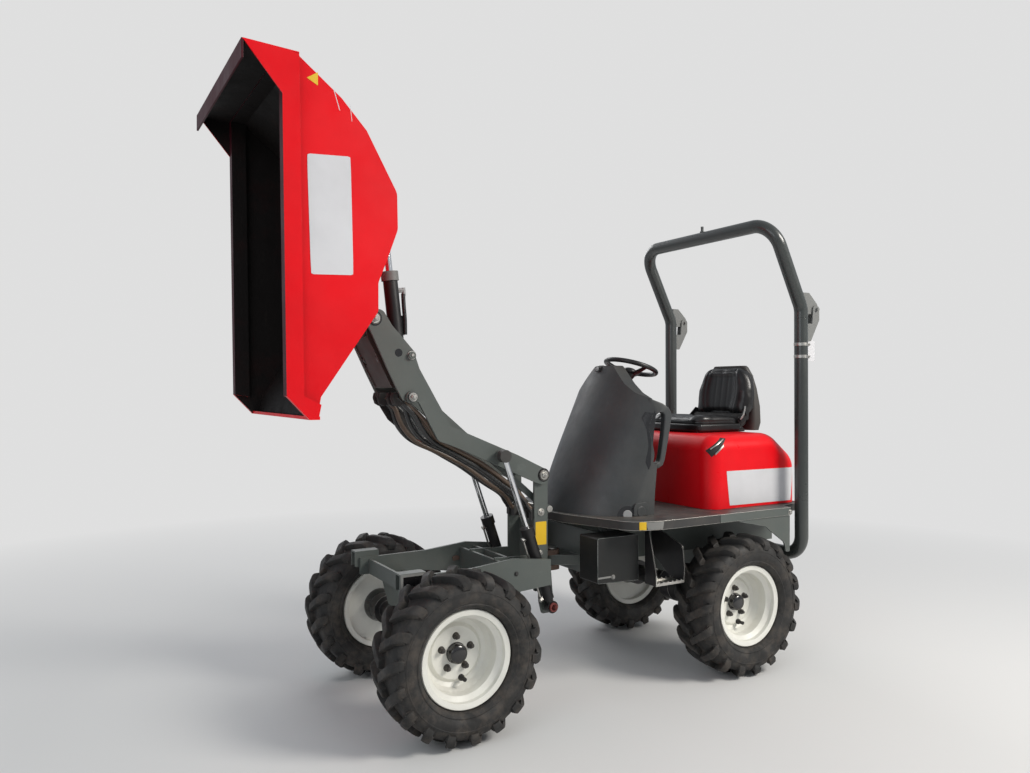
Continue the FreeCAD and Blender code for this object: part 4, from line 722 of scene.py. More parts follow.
def add_valve(node):
    """A rubber valve stem with a dark cap, through the rim's disc."""
    low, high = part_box(node)
    centre = (low + high) / 2
    hand = 1 if centre.y > 0 else -1
    angle = math.radians(257)
    place = centre + Vector((0.118 * math.cos(angle), hand * -0.026, 0.118 * math.sin(angle)))
    bm = bmesh.new()
    turned(bm, place, (0, hand, 0), [(0, 0.0150), (0.010, 0.0140), (0.014, 0.0095), (0.030, 0.0085)], 16)
    turned(bm, place + Vector((0, hand * 0.030, 0)), (0, hand, 0),
           [(0, 0.0085), (0.001, 0.0095), (0.011, 0.0095), (0.013, 0.0075)], 12)
    make_piece(node.replace("rim", "valve"), bm, BODY_OF[node], "black_rubber")


def add_wheel_nuts(node):
    """Cone washers and hexagon nuts that stand over the five round nuts of the hub."""
    low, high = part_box(node.replace("hub", "rim"))
    centre = (low + high) / 2
    hand = 1 if centre.y > 0 else -1
    bm = bmesh.new()
    for i in range(5):
        angle = math.radians(90 + 72 * i)
        place = centre + Vector((0.075 * math.cos(angle), hand * -0.0255, 0.075 * math.sin(angle)))
        turned(bm, place, (0, hand, 0), [(0, 0.0165), (0.004, 0.0150), (0.006, 0.0135)], 24)
        turned(bm, place + Vector((0, hand * 0.006, 0)), (0, hand, 0), [(0, 0.0138), (0.013, 0.0138),
                                                                        (0.0155, 0.0118)], 6, 0.2 + i)
        turned(bm, place + Vector((0, hand * 0.018, 0)), (0, hand, 0), [(0, 0.0072), (0.012, 0.0072),
                                                                        (0.0135, 0.0058)], 16)
    make_piece(node.replace("hub", "nuts"), bm, BODY_OF[node], "iron")
    bm = bmesh.new()
    # Smooth domed cap over the hub's middle
    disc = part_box(node)[1 if hand > 0 else 0].y - hand * 0.040
    place = Vector((centre.x, disc, centre.z))
    turned(bm, place, (0, hand, 0),
           [(0.002, 0.0475), (0.006, 0.0475), (0.008, 0.0450), (0.026, 0.0445), (0.033, 0.0425), (0.038, 0.0380),
            (0.0415, 0.0300), (0.0432, 0.0180), (0.0437, 0.0060)], 40)
    make_piece(node.replace("hub", "hub_cap"), bm, BODY_OF[node], "hub_black", 40)


# Seat

def ease(piece, times):
    """Smooths a pad's surface."""
    bm = bmesh.new()
    bm.from_mesh(piece.data)
    for _ in range(times):
        bmesh.ops.smooth_vert(bm, verts=bm.verts, factor=0.5, use_axis_x=True, use_axis_y=True, use_axis_z=True)
    bm.to_mesh(piece.data)
    bm.free()


def padded_form(node, shrink, voxel, cap, pressure=4.0):
    """The node's solid, drawn in a little, then blown up as cloth until it is taut."""
    bm = bmesh.new()
    bm.from_mesh(NODES[node].data)
    cleaned(bm)
    low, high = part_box(node)
    middle = (low + high) / 2
    size = high - low
    for vert in bm.verts:
        for i in range(3):
            vert.co[i] = middle[i] + (vert.co[i] - middle[i]) * (1 - 2 * shrink / size[i])
    mesh = bpy.data.meshes.new(node + "_pad")
    bm.to_mesh(mesh)
    bm.free()
    piece = link(node + "_pad", mesh)
    bpy.context.view_layer.objects.active = piece
    remesh = piece.modifiers.new("remesh", "REMESH")
    remesh.mode = "VOXEL"
    remesh.voxel_size = voxel
    bpy.ops.object.modifier_apply(modifier=remesh.name)
    ease(piece, 6)
    before = [v.co.copy() for v in piece.data.vertices]
    cloth = piece.modifiers.new("cloth", "CLOTH")
    cloth.settings.use_pressure = True
    cloth.settings.uniform_pressure_force = pressure
    cloth.settings.effector_weights.gravity = 0
    scene = bpy.context.scene
    for step in range(1, 21):
        scene.frame_set(step)
    bpy.ops.object.modifier_apply(modifier=cloth.name)
    scene.frame_set(1)
    for vert, old in zip(piece.data.vertices, before):
        move = vert.co - old
        if move.length > cap:
            vert.co = old + move.normalized() * cap
    ease(piece, 24)
    return piece


def smooth_step(value, low, high):
    t = min(1.0, max(0.0, (value - low) / (high - low)))
    return t * t * (3 - 2 * t)


def sew(piece, depth_at):
    """Draws the surface in along its normals where the seams and channels are, or out where it is stuffed."""
    mesh = piece.data
    normals = [v.normal.copy() for v in mesh.vertices]
    for vert, normal in zip(mesh.vertices, normals):
        vert.co = vert.co - normal * depth_at(vert.co, normal)


def finish_pad(piece, node):
    ease(piece, 1)
    bpy.context.view_layer.objects.active = piece
    fine = piece.modifiers.new("fine", "SUBSURF")
    fine.levels = 1
    bpy.ops.object.modifier_apply(modifier=fine.name)
    piece.data.shade_smooth()
    piece.data.materials.clear()
    piece.data.materials.append(MATERIALS["seat_vinyl"])
    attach(piece, BODY_OF[node])
    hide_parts(node)


def channel(distance, width):
    return math.exp(-(distance / width) ** 2)


def make_seat_cushion():
    node = "seat_cushion"
    low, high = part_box(node)
    piece = padded_form(node, 0.007, 0.006, 0.010)
    centre_y = (low.y + high.y) / 2

    def depth_at(place, normal):
        top = smooth_step(normal.z, 0.3, 0.8)
        across = abs(place.y - centre_y)
        seam = channel(across - 0.135, 0.007) * 0.005
        ribs = sum(channel(place.x - low.x - offset, 0.008) for offset in (0.085, 0.165, 0.245)) * 0.0025
        inside = smooth_step(0.150 - across, 0.0, 0.06)
        hollow = 0.017 * inside
        nose_seam = channel(place.z - (low.z + 0.030), 0.0035) * 0.004 * (1 - top)
        return top * (seam + ribs * inside + hollow) + nose_seam

    sew(piece, depth_at)
    finish_pad(piece, node)


def make_seat_back():
    node = "seat_back"
    low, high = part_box(node)
    piece = padded_form(node, 0.007, 0.006, 0.010)
    centre_y = (low.y + high.y) / 2

    def depth_at(place, normal):
        front = smooth_step(normal.x, 0.2, 0.7)
        across = abs(place.y - centre_y)
        up = (place.z - low.z) / (high.z - low.z)
        # The bolster seam bows outward half way up
        seam_at = 0.100 + 0.035 * math.sin(math.pi * min(1.0, max(0.0, up)))
        seam = channel(across - seam_at, 0.007) * 0.005
        inside = smooth_step(seam_at + 0.015 - across, 0.0, 0.06) * smooth_step(0.90 - up, 0.0, 0.12)
        ribs = sum(channel(across - offset, 0.008) for offset in (0.0, 0.050)) * 0.0020
        top_seam = channel(place.z - (low.z + 0.285), 0.006) * 0.006 * smooth_step(seam_at - across, 0.0, 0.01)
        hollow = 0.018 * inside
        piping = channel(place.x - (low.x + 0.045), 0.003) * 0.004 * (1 - front)
        return front * (seam + ribs * inside * smooth_step(0.285 - (place.z - low.z), 0.0, 0.02) + hollow
                        + top_seam) + piping

    sew(piece, depth_at)
    finish_pad(piece, node)


def make_seat_fittings():
    """Recline lever, side hinge covers, and the boot, shell, pan and skirt round the cushion and the back."""
    for hand in (1, -1):
        bm = bmesh.new()
        prism(bm, [at(-1168, hand * 214, 1352), at(-1245, hand * 214, 1372), at(-1252, hand * 214, 1432),
                   at(-1222, hand * 214, 1440), at(-1160, hand * 214, 1384)], (0, hand * 0.006, 0))
        bevelled(bm, 0.002)
        hex_nut(bm, at(-1222, hand * 220, 1404), (0, hand, 0), 0.019, 0.007)
        hex_nut(bm, at(-1180, hand * 220, 1368), (0, hand, 0), 0.015, 0.006)
        make_piece(f"seat_hinge_{'left' if hand > 0 else 'right'}", bm, "hood", "black_paint")
    bm = bmesh.new()
    # Ribbed boot that closes the space between the cushion and the back
    turned(bm, at(-1214, -196, 1372), (0, 1, 0),
           [(0, 0.030)] + [(0.004 + i * 0.0155, 0.034 if i % 2 else 0.038) for i in range(26)] + [(0.392, 0.030)], 20)
    make_piece("seat_boot", bm, "hood", "black_rubber", 50)
    bm = bmesh.new()
    # Moulded shell behind the back, and the pan and skirt that close the gap under the cushion
    rows = [(1302, -1392, 190), (1350, -1402, 200), (1450, -1395, 200), (1560, -1372, 190), (1640, -1355, 170),
            (1690, -1345, 140), (1700, -1338, 128)]
    sections = []
    for z, rear, half in rows:
        ring = []
        for i in range(40):
            turn = 2 * math.pi * i / 40
            x = math.copysign(abs(math.cos(turn)) ** 0.57, math.cos(turn))
            y = math.copysign(abs(math.sin(turn)) ** 0.57, math.sin(turn))
            ring.append(at((rear - 1290) / 2 - x * (-1290 - rear) / 2, y * half, z))
        sections.append(ring)
    lofted(bm, sections)
    make_piece("seat_shell", bm, "hood", "seat_shell", 50)
    bm = bmesh.new()
    prism(bm, [at(x, y, 1306) for x, y in ((-826, -190), (-818, -120), (-816, 0), (-818, 120), (-826, 190),
                                           (-850, 226), (-1000, 232), (-1178, 222), (-1178, -222), (-1000, -232),
                                           (-850, -226))], (0, 0, 0.044))
    bevelled(bm, 0.013, 4)
    make_piece("seat_pan", bm, "hood", "seat_vinyl", 60)
    bm = bmesh.new()
    prism(bm, [at(-840, -206, 1299), at(-840, 206, 1299), at(-1225, 206, 1299), at(-1225, -206, 1299)], (0, 0, 0.016))
    make_piece("seat_skirt", bm, "hood", "black_rubber", 40)
    bm = bmesh.new()
    tube(bm, [at(-1170, 226, 1372), at(-1180, 240, 1395), at(-1186, 244, 1425), at(-1192, 244, 1452)], 0.0045)
    make_piece("seat_lever", bm, "hood", "steel")


# Panels, labels and their kin

def fine_label(name, node, corners, away, slot):
    """A label that goes round a corner, with enough columns to follow it."""
    bm = bmesh.new()
    decal(bm, node, corners, away, columns=64, rows=12)
    piece = make_piece(name, bm, BODY_OF[node], slot, 30)
    return piece


def make_labels():
    skip_x = (1531, 1349, 1337, 1515)
    skip_z = (2512, 2524, 2033, 2025)
    for hand, side in ((1, "left"), (-1, "right")):
        corners = [at(x, hand * 500, z) for x, z in zip(skip_x, skip_z)]
        label(f"panel_skip_{side}", "skip", corners, (0, hand, 0), "white_label")
        corners = [at(-823, hand * 458, 1100), at(-1368, hand * 458, 1096), at(-1336, hand * 458, 905),
                   at(-846, hand * 458, 908)]
        fine_label(f"panel_hood_{side}", "hood", corners, (0, hand, 0), "white_label")
        corners = [at(161, hand * 142, 862), at(227, hand * 142, 862), at(227, hand * 142, 741),
                   at(161, hand * 142, 741)]
        label(f"label_mast_{side}", "mast", corners, (0, hand, 0), "yellow_label")
        corners = [at(1532, hand * 500, 2818), at(1487, hand * 500, 2848), at(1486, hand * 500, 2847),
                   at(1486, hand * 500, 2794)]
        label(f"label_skip_{side}", "skip", corners, (0, hand, 0), "yellow_label")
        corners = [at(-707, hand * 585, 878), at(-752, hand * 585, 878), at(-752, hand * 585, 856),
                   at(-707, hand * 585, 856)]
        label(f"label_deck_{side}", "deck", corners, (0, hand, 0), "yellow_label")
        corners = [at(-132, hand * 560, 888), at(-168, hand * 565, 888), at(-168, hand * 565, 848),
                   at(-132, hand * 560, 848)]
        label(f"label_deck_front_{side}", "deck", corners, (0.25, hand, 0), "yellow_label")


def make_scratches():
    """Two pale scratches on the skip's left side, through the paint."""
    bm = bmesh.new()
    for (x0, z0), (x1, z1), half in (((1421, 2796), (1394, 2707), 1.6), ((1351, 2747), (1342, 2670), 1.1)):
        corners = [at(x0 - half, 500, z0), at(x0 + half, 500, z0), at(x1 + half, 500, z1), at(x1 - half, 500, z1)]
        decal(bm, "skip", corners, (0, 1, 0), 0.0001, 0.0002, 2, 8)
    make_piece("skip_scratches", bm, "skip", "white_label", 30)


def make_tag():
    """Blank white plate clamped behind the left post, under the fold hinge."""
    bm = bmesh.new()
    prism(bm, [at(-1358, 557, 1838), at(-1424, 557, 1838), at(-1424, 557, 1716), at(-1358, 557, 1716)],
          (0, 0.003, 0))
    bevelled(bm, 0.001)
    make_piece("tag_plate", bm, "rear_frame", "white_label")
    bm = bmesh.new()
    for z in (1742, 1812):
        turned(bm, at(-1312, 557, z - 9), (0, 0, 1), [(0, 0.0392), (0.001, 0.0402), (0.017, 0.0402),
                                                      (0.018, 0.0392)], 40)
        prism(bm, [at(-1348, 553, z - 8), at(-1400, 553, z - 8), at(-1400, 553, z + 8), at(-1348, 553, z + 8)],
              (0, 0.0035, 0))
        hex_nut(bm, at(-1374, 560.5, z), (0, 1, 0), 0.012, 0.005)
    make_piece("tag_clamps", bm, "rear_frame", "steel")


def make_hood_details():
    for hand, side in ((1, "left"), (-1, "right")):
        # The latch recess cuts across the front top corner of the hood's side, drawn as a black sheet of painted
        # shade
        bm = bmesh.new()
        corners = [at(-706, hand * 436, 1222), at(-812, hand * 430, 1288), at(-846, hand * 430, 1280),
                   at(-730, hand * 446, 1182)]
        decal(bm, "hood", corners, (0.15, hand, 0.25), 0.0004, 0.0012, 24, 10)
        make_piece(f"latch_recess_shade_{side}", bm, "hood", "black_rubber", 30)
        bm = bmesh.new()
        # Painted highlights: two bright strips along the recess's edges
        for first, last, half in (((-748, 1194), (-806, 1240), 5), ((-724, 1226), (-822, 1279), 3)):
            corners = [at(first[0], hand * 440, first[1] + half), at(last[0], hand * 440, last[1] + half),
                       at(last[0], hand * 440, last[1] - half), at(first[0], hand * 440, first[1] - half)]
            decal(bm, "hood", corners, (0.15, hand, 0.25), 0.0020, 0.0040, 12, 4)
        make_piece(f"latch_highlight_{side}", bm, "hood", "steel", 40)
        # Grey plate behind the deck's edge, and the deck edge's worn patch
        bm = bmesh.new()
        decal(bm, "deck", [at(-651, hand * 585, 888), at(-1184, hand * 585, 888), at(-1184, hand * 585, 847),
                           at(-651, hand * 585, 847)], (0, hand, 0), 0.0004, 0.0015, 24, 3)
        make_piece(f"deck_edge_plate_{side}", bm, "rear_frame", "grey_paint", 30)
        bm = bmesh.new()
        decal(bm, "deck", [at(-168, hand * 585, 886), at(-266, hand * 585, 886), at(-258, hand * 585, 848),
                           at(-176, hand * 585, 848)], (0, hand, 0), 0.0002, 0.0004, 12, 3)
        make_piece(f"deck_worn_{side}", bm, "rear_frame", "worn_bright", 30)
        bm = bmesh.new()
        decal(bm, "side_tanks", [at(30, hand * 416, 603), at(-53, hand * 420, 603), at(-53, hand * 420, 594),
                                 at(30, hand * 416, 594)], (0.1, hand, 0), 0.0004, 0.0015, 12, 2)
        hex_nut(bm, at(-66, hand * 420, 596), (0, hand, 0), 0.018, 0.007)
        make_piece(f"tank_strip_{side}", bm, "rear_frame", "worn_bright", 30)
    bm = bmesh.new()
    # Bolts in the deck's edges, one on each side
    for hand in (1, -1):
        hex_nut(bm, at(-1185, hand * 585, 862), (0, hand, 0), 0.022, 0.008, 1.5)
    make_piece("deck_bolts", bm, "rear_frame", "steel")


# Pins, bolts and fittings

def make_bolts():
    places = {
        # body: x, y, z, across, height, stud
        "lift_arm": [(1118, 170, 1889, 0.032, 0.012, 0.006), (933, 163, 1720, 0.030, 0.012, 0.004),
                     (190, 170, 1108, 0.032, 0.012, 0.006), (432, 163, 1225, 0.026, 0.010, 0.003), (933, 183, 1521, 0.030, 0.012, 0.004)],
        "front_frame": [(193, 142.5, 912, 0.028, 0.011, 0.004), (196, 143, 700, 0.018, 0.007, 0),
                        (196, 143, 600, 0.018, 0.007, 0)],
    }
    for body, rows in places.items():
        bm = bmesh.new()
        for x, y, z, across, height, stud in rows:
            for hand in (1, -1):
                hex_nut(bm, at(x, hand * y, z), (0, hand, 0), across, height, 1.45, stud, 0.3)
        make_piece(f"bolts_{body}", bm, body, "steel", 30)
    bm = bmesh.new()
    for hand in (1, -1):
        # Painted shade: dark rings behind the pins' washers, and dark discs for an open hole beside the mid bolt and
        # for the tube's end below
        for x, z, r in ((1118, 1889, 0.036), (190, 1108, 0.036), (933, 1720, 0.0235)):
            turned(bm, at(x, hand * 162.2, z), (0, hand, 0), [(0, r), (0.0004, r)], 32)
        turned(bm, at(933, hand * 182.3, 1521), (0, hand, 0), [(0, 0.024), (0.0006, 0.024)], 32)
        turned(bm, at(999, hand * 162.6, 1731), (0, hand, 0), [(0, 0.019), (0.0006, 0.019)], 32)
    make_piece("pin_shadows", bm, "lift_arm", "hub_black", 30)
    bm = bmesh.new()
    for hand in (1, -1):
        turned(bm, at(935, hand * 150, 1520), (0, hand, 0),
               [(0, 0.030), (0.024, 0.030), (0.026, 0.028), (0.0262, 0.020), (0.016, 0.0195)], 36)
    make_piece("arm_cross_tube", bm, "lift_arm", "grey_paint", 30)


# Hydraulic hoses' courses under the arm, as x and z
HOSE_COURSES = {
    "high": [(228, 905), (262, 935), (285, 985), (399, 1055), (529, 1150), (617, 1195), (700, 1240), (790, 1278),
             (848, 1320), (894, 1374), (914, 1425), (926, 1470), (985, 1515)],
    "low": [(228, 925), (262, 945), (300, 1006), (399, 1084), (529, 1182), (617, 1230), (700, 1270), (790, 1310),
            (830, 1384), (880, 1440), (935, 1487), (985, 1520)],
    "middle": [(228, 905), (262, 935), (285, 985), (399, 1055), (529, 1152), (617, 1197), (700, 1241),
               (790, 1284), (840, 1340), (876, 1392), (904, 1440), (990, 1520)],
}
# Hoses keep to the lanes between the levelling bars and the tilt cylinder, and outside the bars
HOSE_LANES = (-118, -64, 64, 118)
HOSE_RUNS = [(-118, 0.0125, "high"), (-64, 0.0120, "high"), (-64, 0.0115, "low"), (64, 0.0120, "high"),
             (64, 0.0115, "low"), (118, 0.0120, "low"), (118, 0.0125, "middle")]


def make_hoses():
    """Hydraulic hoses under the arm, from the mast round the bend to the tilt cylinder's foot."""
    for i, (y, radius, course) in enumerate(HOSE_RUNS):
        bm = bmesh.new()
        points = []
        for k, (x, z) in enumerate(HOSE_COURSES[course]):
            sway = 3.5 * math.sin(2.1 * i + 1.3 * k) if 0 < k < 11 else 0
            points.append(at(x, y, z + sway))
        line = tube(bm, points, radius, 12, 8)
        for place, ahead in ((line[0], line[0] - line[1]), (line[-1], line[-1] - line[-2])):
            turned(bm, place - ahead.normalized() * 0.030, ahead,
                   [(0, radius * 1.05), (0.002, radius * 1.15), (0.030, radius * 1.15), (0.032, radius * 0.9)], 16)
        # Three hoses wear brown sleeves, lightened as painted reflection
        look = "sleeve_and_reflection" if i in (1, 4, 5) else "hose"
        piece = make_piece(f"hose_arm_{i + 1}", bm, None, look)
        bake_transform(piece)
    bm = bmesh.new()
    # Plate inside the arm's right plate, behind the hoses in the bend, black as painted shade on that plate's inner
    # face
    prism(bm, [at(x, -138, z) for x, z in ((1000, 1500), (938, 1404), (868, 1346), (800, 1312), (752, 1300),
                                           (792, 1330), (846, 1420), (880, 1500), (960, 1530))], (0, 0.006, 0))
    bevelled(bm, 0.002)
    make_piece("hose_guard_shade", bm, "lift_arm", "black_rubber", 40)
    bm = bmesh.new()
    # Boots under the carrier where the hoses end, and the blocks on the mast where they start
    for lane in HOSE_LANES:
        prism(bm, [at(x, lane - 13, z) for x, z in ((966, 1542), (950, 1512), (958, 1484), (990, 1474), (1012, 1486),
                                                    (1022, 1516), (1016, 1542))], (0, 0.026, 0))
    bevelled(bm, 0.005, 3)
    make_piece("hose_boots", bm, "lift_arm", "black_rubber", 40)
    bm = bmesh.new()
    for lane in HOSE_LANES:
        prism(bm, [at(x, lane - 14, z) for x, z in ((206, 872), (246, 872), (246, 934), (206, 934))], (0, 0.028, 0))
    prism(bm, [at(x, -50, z) for x, z in ((206, 876), (220, 876), (220, 900), (206, 900))], (0, 0.100, 0))
    bevelled(bm, 0.003)
    make_piece("hose_manifold", bm, "front_frame", "iron", 30)


def make_tilt_fittings():
    along = (at(1025, 0, 2519) - at(935, 0, 1719)).normalized()
    across = Vector((along.z, 0, -along.x))
    base = at(935, 0, 1719)
    bm = bmesh.new()
    # Hoses along the front of the tilt barrel, on the side away from the skip
    for y, top in ((20, 0.305), (-14, 0.200)):
        side = Vector((0, y / 1000, 0))
        foot = base + along * 0.105 - across * 0.040 + side
        head = base + along * top - across * 0.052 + side
        tube(bm, [foot, foot.lerp(head, 0.3) - across * 0.004, foot.lerp(head, 0.7), head], 0.0105, 12, 6)
    piece = make_piece("tilt_hoses", bm, "tilt_barrel", "hose")
    bm = bmesh.new()
    port = base + along * 0.325 - across * 0.034
    turned(bm, port, -across, [(0, 0.014), (0.014, 0.014), (0.016, 0.012), (0.030, 0.012), (0.032, 0.010)], 6)
    turned(bm, port - across * 0.030, -along, [(-0.012, 0.011), (0.016, 0.011), (0.030, 0.009)], 12)
    make_piece("tilt_port", bm, "tilt_barrel", "pale_plastic", 30)


def make_lift_fittings():
    foot = at(178, 0, 432)
    eye = at(455, 0, 1222)
    along = (eye - foot).normalized()
    front = Vector((along.z, 0, -along.x))
    for hand, side in ((1, "left"), (-1, "right")):
        middle = Vector((0, hand * 0.2145, 0))
        bm = bmesh.new()
        low = foot + middle + along * 0.070 + front * 0.044
        high = foot + middle + along * 0.395 + front * 0.040
        tube(bm, [low - front * 0.010, low, low + along * 0.05, high - along * 0.05, high, high - front * 0.010],
             0.0055, 10, 6)
        low = foot + middle + along * 0.060 + front * 0.034
        turned(bm, low, front, [(0, 0.012), (0.016, 0.012), (0.018, 0.010)], 6)
        turned(bm, foot + middle + along * 0.395 + front * 0.028, front, [(0, 0.012), (0.018, 0.012),
                                                                          (0.020, 0.010)], 6)
        make_piece(f"lift_pipe_{side}", bm, "lift_barrels", "steel")
        bm = bmesh.new()
        turned(bm, foot + middle + along * 0.405, along,
               [(0, 0.0298), (0.002, 0.0325), (0.024, 0.0325), (0.028, 0.029), (0.034, 0.024)], 32)
        make_piece(f"lift_gland_{side}", bm, "lift_barrels", "dull_grey", 30)
        bm = bmesh.new()
        cap = foot + Vector((0, hand * 0.2345, 0))
        turned(bm, cap, (0, hand, 0), [(0, 0.024), (0.006, 0.024), (0.010, 0.020)], 28)
        make_piece(f"lift_cap_{side}", bm, "lift_barrels", "dull_red", 30)


# The wing moulded onto each side of the cowl, with the opening that is its handle, as x and z
WING_OUTER = [(-318, 1528), (-372, 1508), (-430, 1480), (-472, 1456), (-490, 1432), (-491, 1395), (-474, 1310),
              (-458, 1235), (-444, 1175), (-430, 1146), (-400, 1131), (-345, 1122), (-318, 1200), (-316, 1400)]
WING_INNER = [(-384, 1402), (-392, 1421), (-412, 1430), (-432, 1430), (-442, 1418), (-443, 1385), (-434, 1310),
              (-422, 1240), (-411, 1185), (-402, 1166), (-384, 1160), (-358, 1162), (-350, 1190), (-366, 1300)]


def make_wings():
    bm = bmesh.new()
    for hand in (1, -1):
        loop_plate(bm, WING_OUTER, WING_INNER, hand * 348, hand * 386)
    low = at(-400, 0, 1250)
    high = at(-318, 0, 1500)
    for vert in bm.verts:
        # The wing's front edge draws in with the cowl's shoulder
        draw = 0.120 * smooth_step(vert.co.x, low.x, high.x) * smooth_step(vert.co.z, low.z, high.z)
        draw += 0.040 * smooth_step(vert.co.x, at(-382, 0, 0).x, at(-350, 0, 0).x)
        vert.co.y -= math.copysign(draw, vert.co.y)
    bevelled(bm, 0.008, 3)
    piece = make_piece("cowl_wings", bm, BODY_OF["grab_handles"], "cowl_plastic", 40)
    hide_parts("grab_handles")


def make_steering_wheel():
    """Thick rim, three broad spokes and a domed hub, tilted toward the driver."""
    bm = bmesh.new()
    radius = 0.148
    rim = 0.0135
    rings = []
    for i in range(72):
        turn = 2 * math.pi * i / 72
        out = Vector((math.cos(turn), math.sin(turn), 0))
        rings.append([bm.verts.new(out * (radius + rim * math.cos(a)) + Vector((0, 0, rim * math.sin(a))))
                      for a in (2 * math.pi * k / 14 for k in range(14))])
    for i in range(72):
        ring = rings[i]
        after = rings[(i + 1) % 72]
        for k in range(14):
            n = (k + 1) % 14
            bm.faces.new((ring[k], after[k], after[n], ring[n]))
    for i in range(3):
        turn = math.radians(90 + 120 * i)
        out = Vector((math.cos(turn), math.sin(turn), 0))
        side = Vector((-out.y, out.x, 0))
        rows = []
        for far, drop, half, thick in ((0.015, -0.040, 0.024, 0.008), (0.060, -0.034, 0.019, 0.006),
                                       (0.110, -0.014, 0.015, 0.005), (0.146, 0.0, 0.013, 0.005)):
            rows.append([out * far + side * a * half + Vector((0, 0, drop + b * thick))
                         for a, b in ((-1, -0.5), (-0.6, -1), (0.6, -1), (1, -0.5), (1, 0.5), (0.6, 1), (-0.6, 1),
                                      (-1, 0.5))])
        lofted(bm, rows)
    turned(bm, (0, 0, 0), (0, 0, 1), [(-0.076, 0.020), (-0.055, 0.032), (-0.034, 0.042), (-0.024, 0.042),
                                      (-0.014, 0.036), (-0.008, 0.024), (-0.006, 0.010)], 36)
    tilt = Matrix.Translation(at(-518, 0, 1684)) @ Matrix.Rotation(math.radians(-17), 4, "Y")
    bmesh.ops.transform(bm, matrix=tilt, verts=bm.verts)
    piece = make_piece("steering_wheel_rim", bm, BODY_OF["steering_wheel"], "wheel_black", 50)
    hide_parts("steering_wheel")


def make_cowl_details():
    for hand, side in ((1, "left"), (-1, "right")):
        bm = bmesh.new()
        # Painted shade: a black sheet on the hollow that the wing's front edge leaves in the cowl
        left = [at(x, hand * y, z) for x, y, z in ((-343, 340, 1433), (-325, 335, 1404), (-334, 368, 1338),
                                                   (-329, 389, 1254), (-305, 392, 1170), (-318, 400, 1128))]
        right = [at(x, hand * 350, z) for x, z in ((-384, 1425), (-379, 1404), (-375, 1338), (-371, 1254),
                                                   (-367, 1170), (-365, 1140))]
        strip_decal(bm, "cowl", left, right, (0.55, hand * 0.8, 0.2), 0.0004, 0.0010, 6)
        # A black web of painted shade bridges from the hollow to the opening
        thick = Vector((0.55, hand * 0.8, 0.2)) * 0.0013
        sections = []
        for near_edge, (x, z) in zip(left, ((-386, 1428), (-382, 1404), (-373, 1338), (-363, 1254), (-354, 1180),
                                            (-362, 1152))):
            low = near_edge + thick * 0.6
            high = at(x, hand * 380, z)
            sections.append([low, high, high + thick, low + thick])
        lofted(bm, sections)
        make_piece(f"cowl_hollow_shade_{side}", bm, "rear_frame", "hub_black", 30)
        bm = bmesh.new()
        # Rounded tab beside the base arch, with a raised circle
        outline = [(-312, 891), (-214, 891), (-214, 935), (-228, 958), (-296, 962), (-312, 940)]
        prism(bm, [at(x, hand * 398, z) for x, z in outline], (0, hand * 0.009, 0))
        bevelled(bm, 0.004, 2)
        turned(bm, at(-262, hand * 406, 913), (0, hand, 0), [(0, 0.028), (0.002, 0.028), (0.004, 0.025)], 36)
        make_piece(f"cowl_tab_{side}", bm, "rear_frame", "cowl_plastic", 30)
        bm = bmesh.new()
        # Painted shade: a black half-round sheet for the hollow round the foot bolt, and the bolt's grey disc
        left = [at(-190 - 50 * math.sin(a), hand * (382 + 8 * math.sin(a)), 893 + 52 * math.cos(a))
                for a in (math.pi * k / 12 for k in range(7))]
        right = [at(-190 + 50 * math.sin(a), hand * (382 - 18 * math.sin(a)), 893 + 52 * math.cos(a))
                 for a in (math.pi * k / 12 for k in range(7))]
        strip_decal(bm, "cowl", left, right, (0.5, hand * 0.85, 0.17), 0.0006, 0.0010, 6)
        make_piece(f"cowl_arch_shade_{side}", bm, "rear_frame", "hub_black", 30)
        bm = bmesh.new()
        turned(bm, at(-190, hand * 382, 899), (0.5, hand * 0.85, 0.17),
               [(-0.010, 0.024), (0.004, 0.024), (0.006, 0.021)], 36)
        make_piece(f"cowl_bolt_{side}", bm, "rear_frame", "pale_plastic", 30)
    bm = bmesh.new()
    # Switch and pale lamp at the front of the cowl's top
    prism(bm, [at(-300, -54, 1656), at(-300, -8, 1656), at(-330, -8, 1670), at(-330, -54, 1670)], (0, 0, 0.024))
    bevelled(bm, 0.004)
    make_piece("cowl_switch", bm, "rear_frame", "black_rubber", 40)
    bm = bmesh.new()
    turned(bm, at(-308, -30, 1668), (0.92, 0, 0.38), [(0, 0.012), (0.014, 0.012), (0.018, 0.008)], 24)
    make_piece("cowl_lamp", bm, "rear_frame", "pale_plastic", 30)


def make_skip_lip():
    """Folded flange along the free edge of the skip's guard plate, dark red as painted shade."""
    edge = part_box("skip")[1].x
    bm = bmesh.new()
    low = at(0, 0, 2842).z
    high = at(0, 0, 2919).z
    prism(bm, [Vector((edge - 0.004, y, z)) for y, z in ((-0.519, low), (0.519, low), (0.519, high),
                                                         (-0.519, high))], (0.009, 0, 0))
    bevelled(bm, 0.002)
    make_piece("skip_lip", bm, "skip", "skip_rim_shade", 30)


